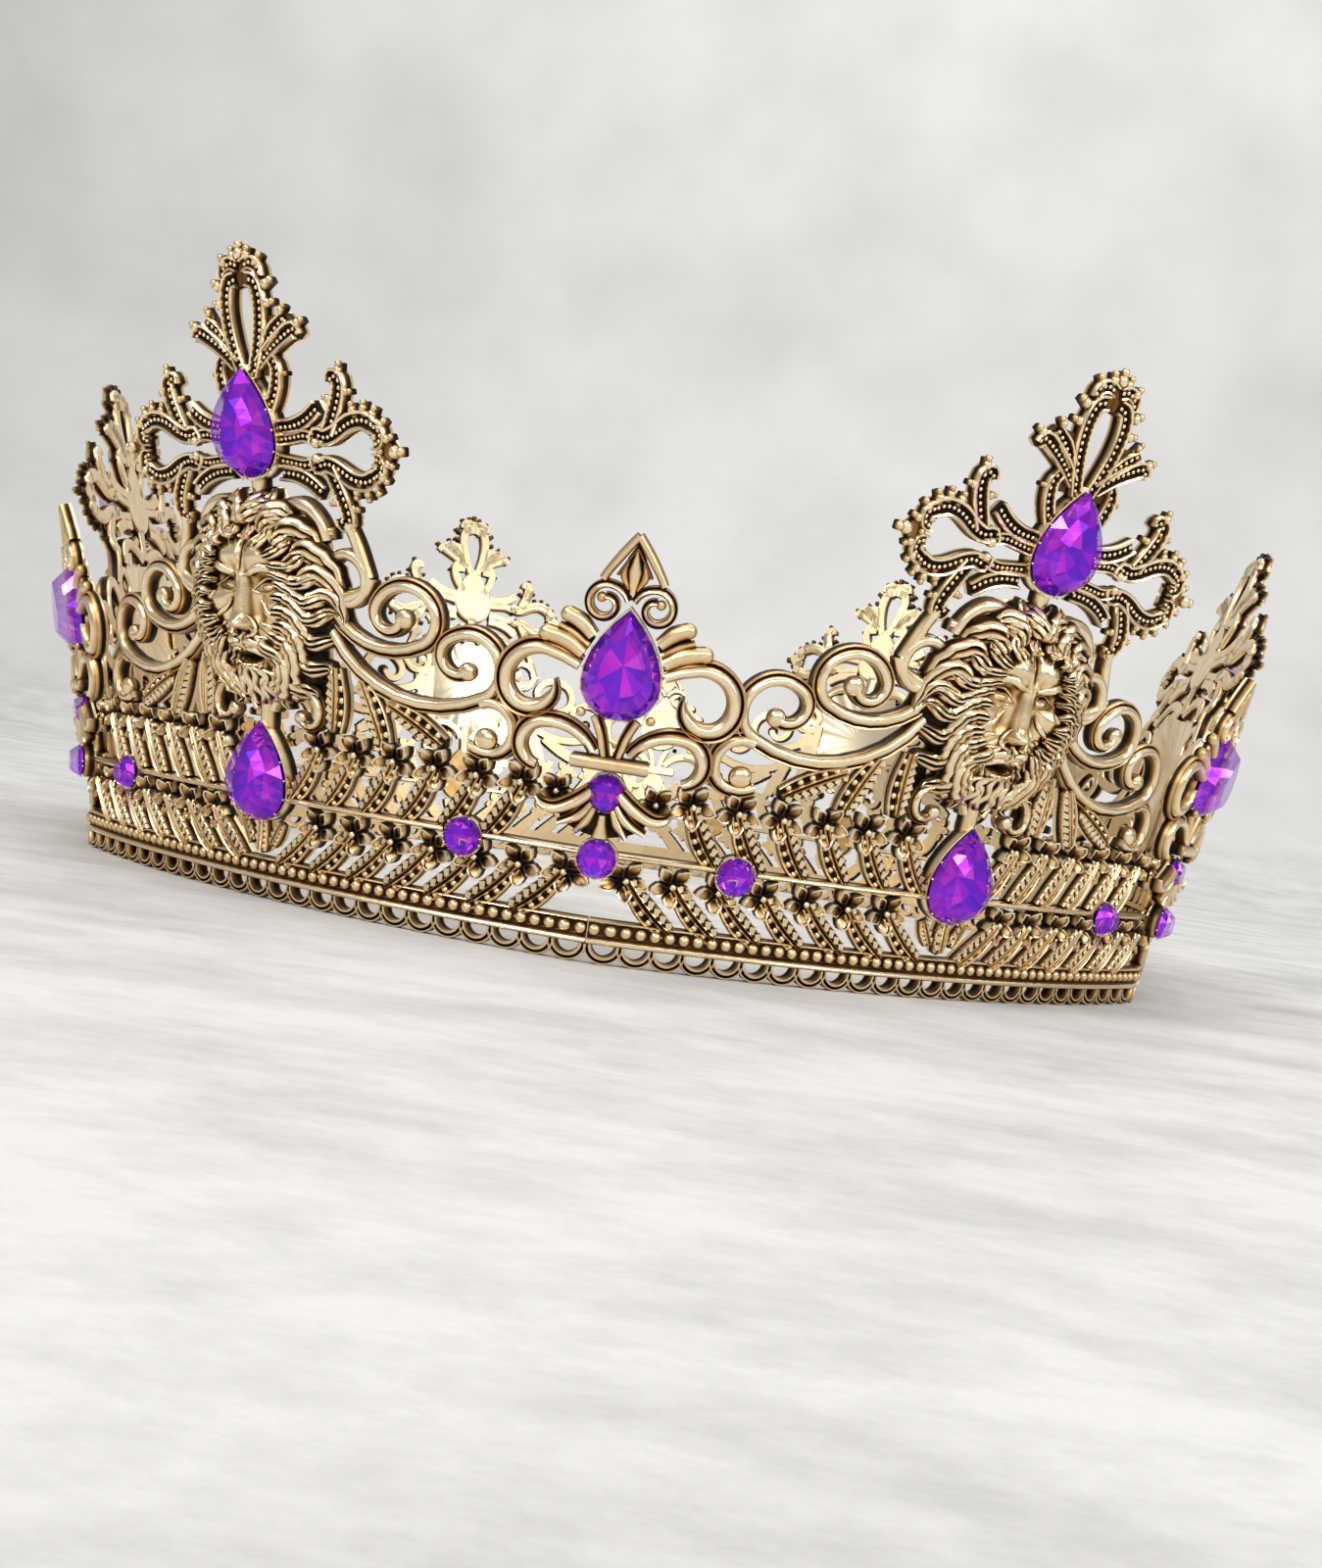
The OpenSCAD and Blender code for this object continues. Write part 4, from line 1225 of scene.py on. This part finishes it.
# Lights: name, place, aim, size, power and colour
LIGHTS = [
    ("overhead", (0.1, 0.0, 1.0), (0.1, 0, 0), (0.9, 0.9), 3.9, (1, 1, 1)),
    ("key", (-0.45, -0.5, 0.7), (0, 0, 0.04), (0.2, 0.2), 3.4, (1, 0.98, 0.95)),
    ("side", (0.6, -0.45, 0.4), (0, 0, 0.04), (0.15, 0.4), 1.8, (1, 1, 1)),
    ("front", (0.1, -1.0, 0.5), (0, 0, 0.04), (1.0, 0.5), 3.2, (1, 1, 1)),
    ("wall", (0.45, 0.2, 0.9), (0.45, 0.75, 0.5), (1.6, 0.3), 3.0, (1, 1, 1)),
]


def make_camera():
    """The photograph's view; its axes are right, down and forward, and the camera looks along -Z"""
    data = bpy.data.cameras.new("camera")
    data.sensor_fit = "AUTO"
    data.sensor_width = SENSOR
    data.lens = SENSOR*FOCAL_PIXELS/PHOTO_H
    data.shift_y = (CENTRE_Y_PIXELS - PHOTO_H/2)/PHOTO_H
    data.clip_start = 0.01
    camera = bpy.data.objects.new("camera", data)
    bpy.context.scene.collection.objects.link(camera)
    turn = Vector(CAMERA_TURN)
    to_camera = Matrix.Rotation(turn.length, 3, turn.normalized())
    axes = Matrix(((1, 0, 0), (0, -1, 0), (0, 0, -1)))
    camera.matrix_world = Matrix.Translation(Vector(CAMERA_AT)*MM) @ (axes @ to_camera).inverted().to_4x4()
    bpy.context.scene.camera = camera


def area_light(name, at, aim, size, power, colour):
    data = bpy.data.lights.new(name, "AREA")
    data.shape = "RECTANGLE"
    data.size, data.size_y = size
    data.energy = power
    data.color = colour
    light = bpy.data.objects.new(name, data)
    bpy.context.scene.collection.objects.link(light)
    light.location = at
    light.rotation_euler = (Vector(aim) - Vector(at)).to_track_quat("-Z", "Y").to_euler()


def floor_and_wall():
    """One sheet, bent up from the floor into the wall"""
    bm = bmesh.new()
    left = -WIDTH/2
    row = [bm.verts.new((left, NEAR, 0)), bm.verts.new((left, FAR - COVE, 0))]
    bm.edges.new(row)
    bmesh.ops.spin(bm, geom=[row[1]], cent=(left, FAR - COVE, COVE), axis=(1, 0, 0), angle=pi/2, steps=24)
    top = max(bm.verts, key=lambda v: v.co.z)
    bm.edges.new((top, bm.verts.new((left, FAR, WALL))))
    made = bmesh.ops.extrude_edge_only(bm, edges=bm.edges)["geom"]
    bmesh.ops.translate(bm, vec=(WIDTH, 0, 0), verts=[g for g in made if isinstance(g, bmesh.types.BMVert)])
    mesh = bpy.data.meshes.new("floor_and_wall")
    bm.to_mesh(mesh)
    bm.free()
    mesh.shade_smooth()
    mesh.materials.append(pale_floor())
    floor = bpy.data.objects.new("floor_and_wall", mesh)
    bpy.context.scene.collection.objects.link(floor)


class CROWN_OT_stage(bpy.types.Operator):
    """Pale floor and wall, soft lights and the camera"""
    bl_idname = "crown.stage"
    bl_label = "Stage, lights and camera"

    def execute(self, context):
        make_camera()
        floor_and_wall()
        for light in LIGHTS:
            area_light(*light)
        world = bpy.data.worlds.new("studio")
        context.scene.world = world
        world.use_nodes = True
        background = world.node_tree.nodes["Background"]
        background.inputs["Color"].default_value = (*hex_colour("#eef0f4"), 1.0)
        background.inputs["Strength"].default_value = 0.5
        context.scene.view_settings.view_transform = "Standard"
        return {"FINISHED"}


class CROWN_PT_sidebar(bpy.types.Panel):
    bl_idname = "CROWN_PT_sidebar"
    bl_label = "Crystal crown"
    bl_space_type = "VIEW_3D"
    bl_region_type = "UI"
    bl_category = "Crown"

    def draw(self, context):
        for group in (context.scene.crown_sizes, context.scene.crown_colours):
            for name in group.__annotations__:
                self.layout.prop(group, name)
        for step in OPERATORS:
            self.layout.operator(step.bl_idname)


OPERATORS = (CROWN_OT_panels, CROWN_OT_fleurs, CROWN_OT_drop_stones, CROWN_OT_round_stones, CROWN_OT_stage)
CLASSES = (CrownSizes, CrownColours, *OPERATORS, CROWN_PT_sidebar)


def register():
    for cls in CLASSES:
        bpy.utils.register_class(cls)
    bpy.types.Scene.crown_sizes = PointerProperty(type=CrownSizes)
    bpy.types.Scene.crown_colours = PointerProperty(type=CrownColours)


def unregister():
    del bpy.types.Scene.crown_colours
    del bpy.types.Scene.crown_sizes
    for cls in reversed(CLASSES):
        bpy.utils.unregister_class(cls)


def corners(box):
    """A box as plain lists"""
    return [list(corner) for corner in box]


def main():
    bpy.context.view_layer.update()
    register()
    bpy.ops.crown.panels()
    bpy.ops.crown.fleurs()
    bpy.ops.crown.drop_stones()
    bpy.ops.crown.round_stones()
    bpy.ops.crown.stage()


if __name__ == "__main__":
    main()
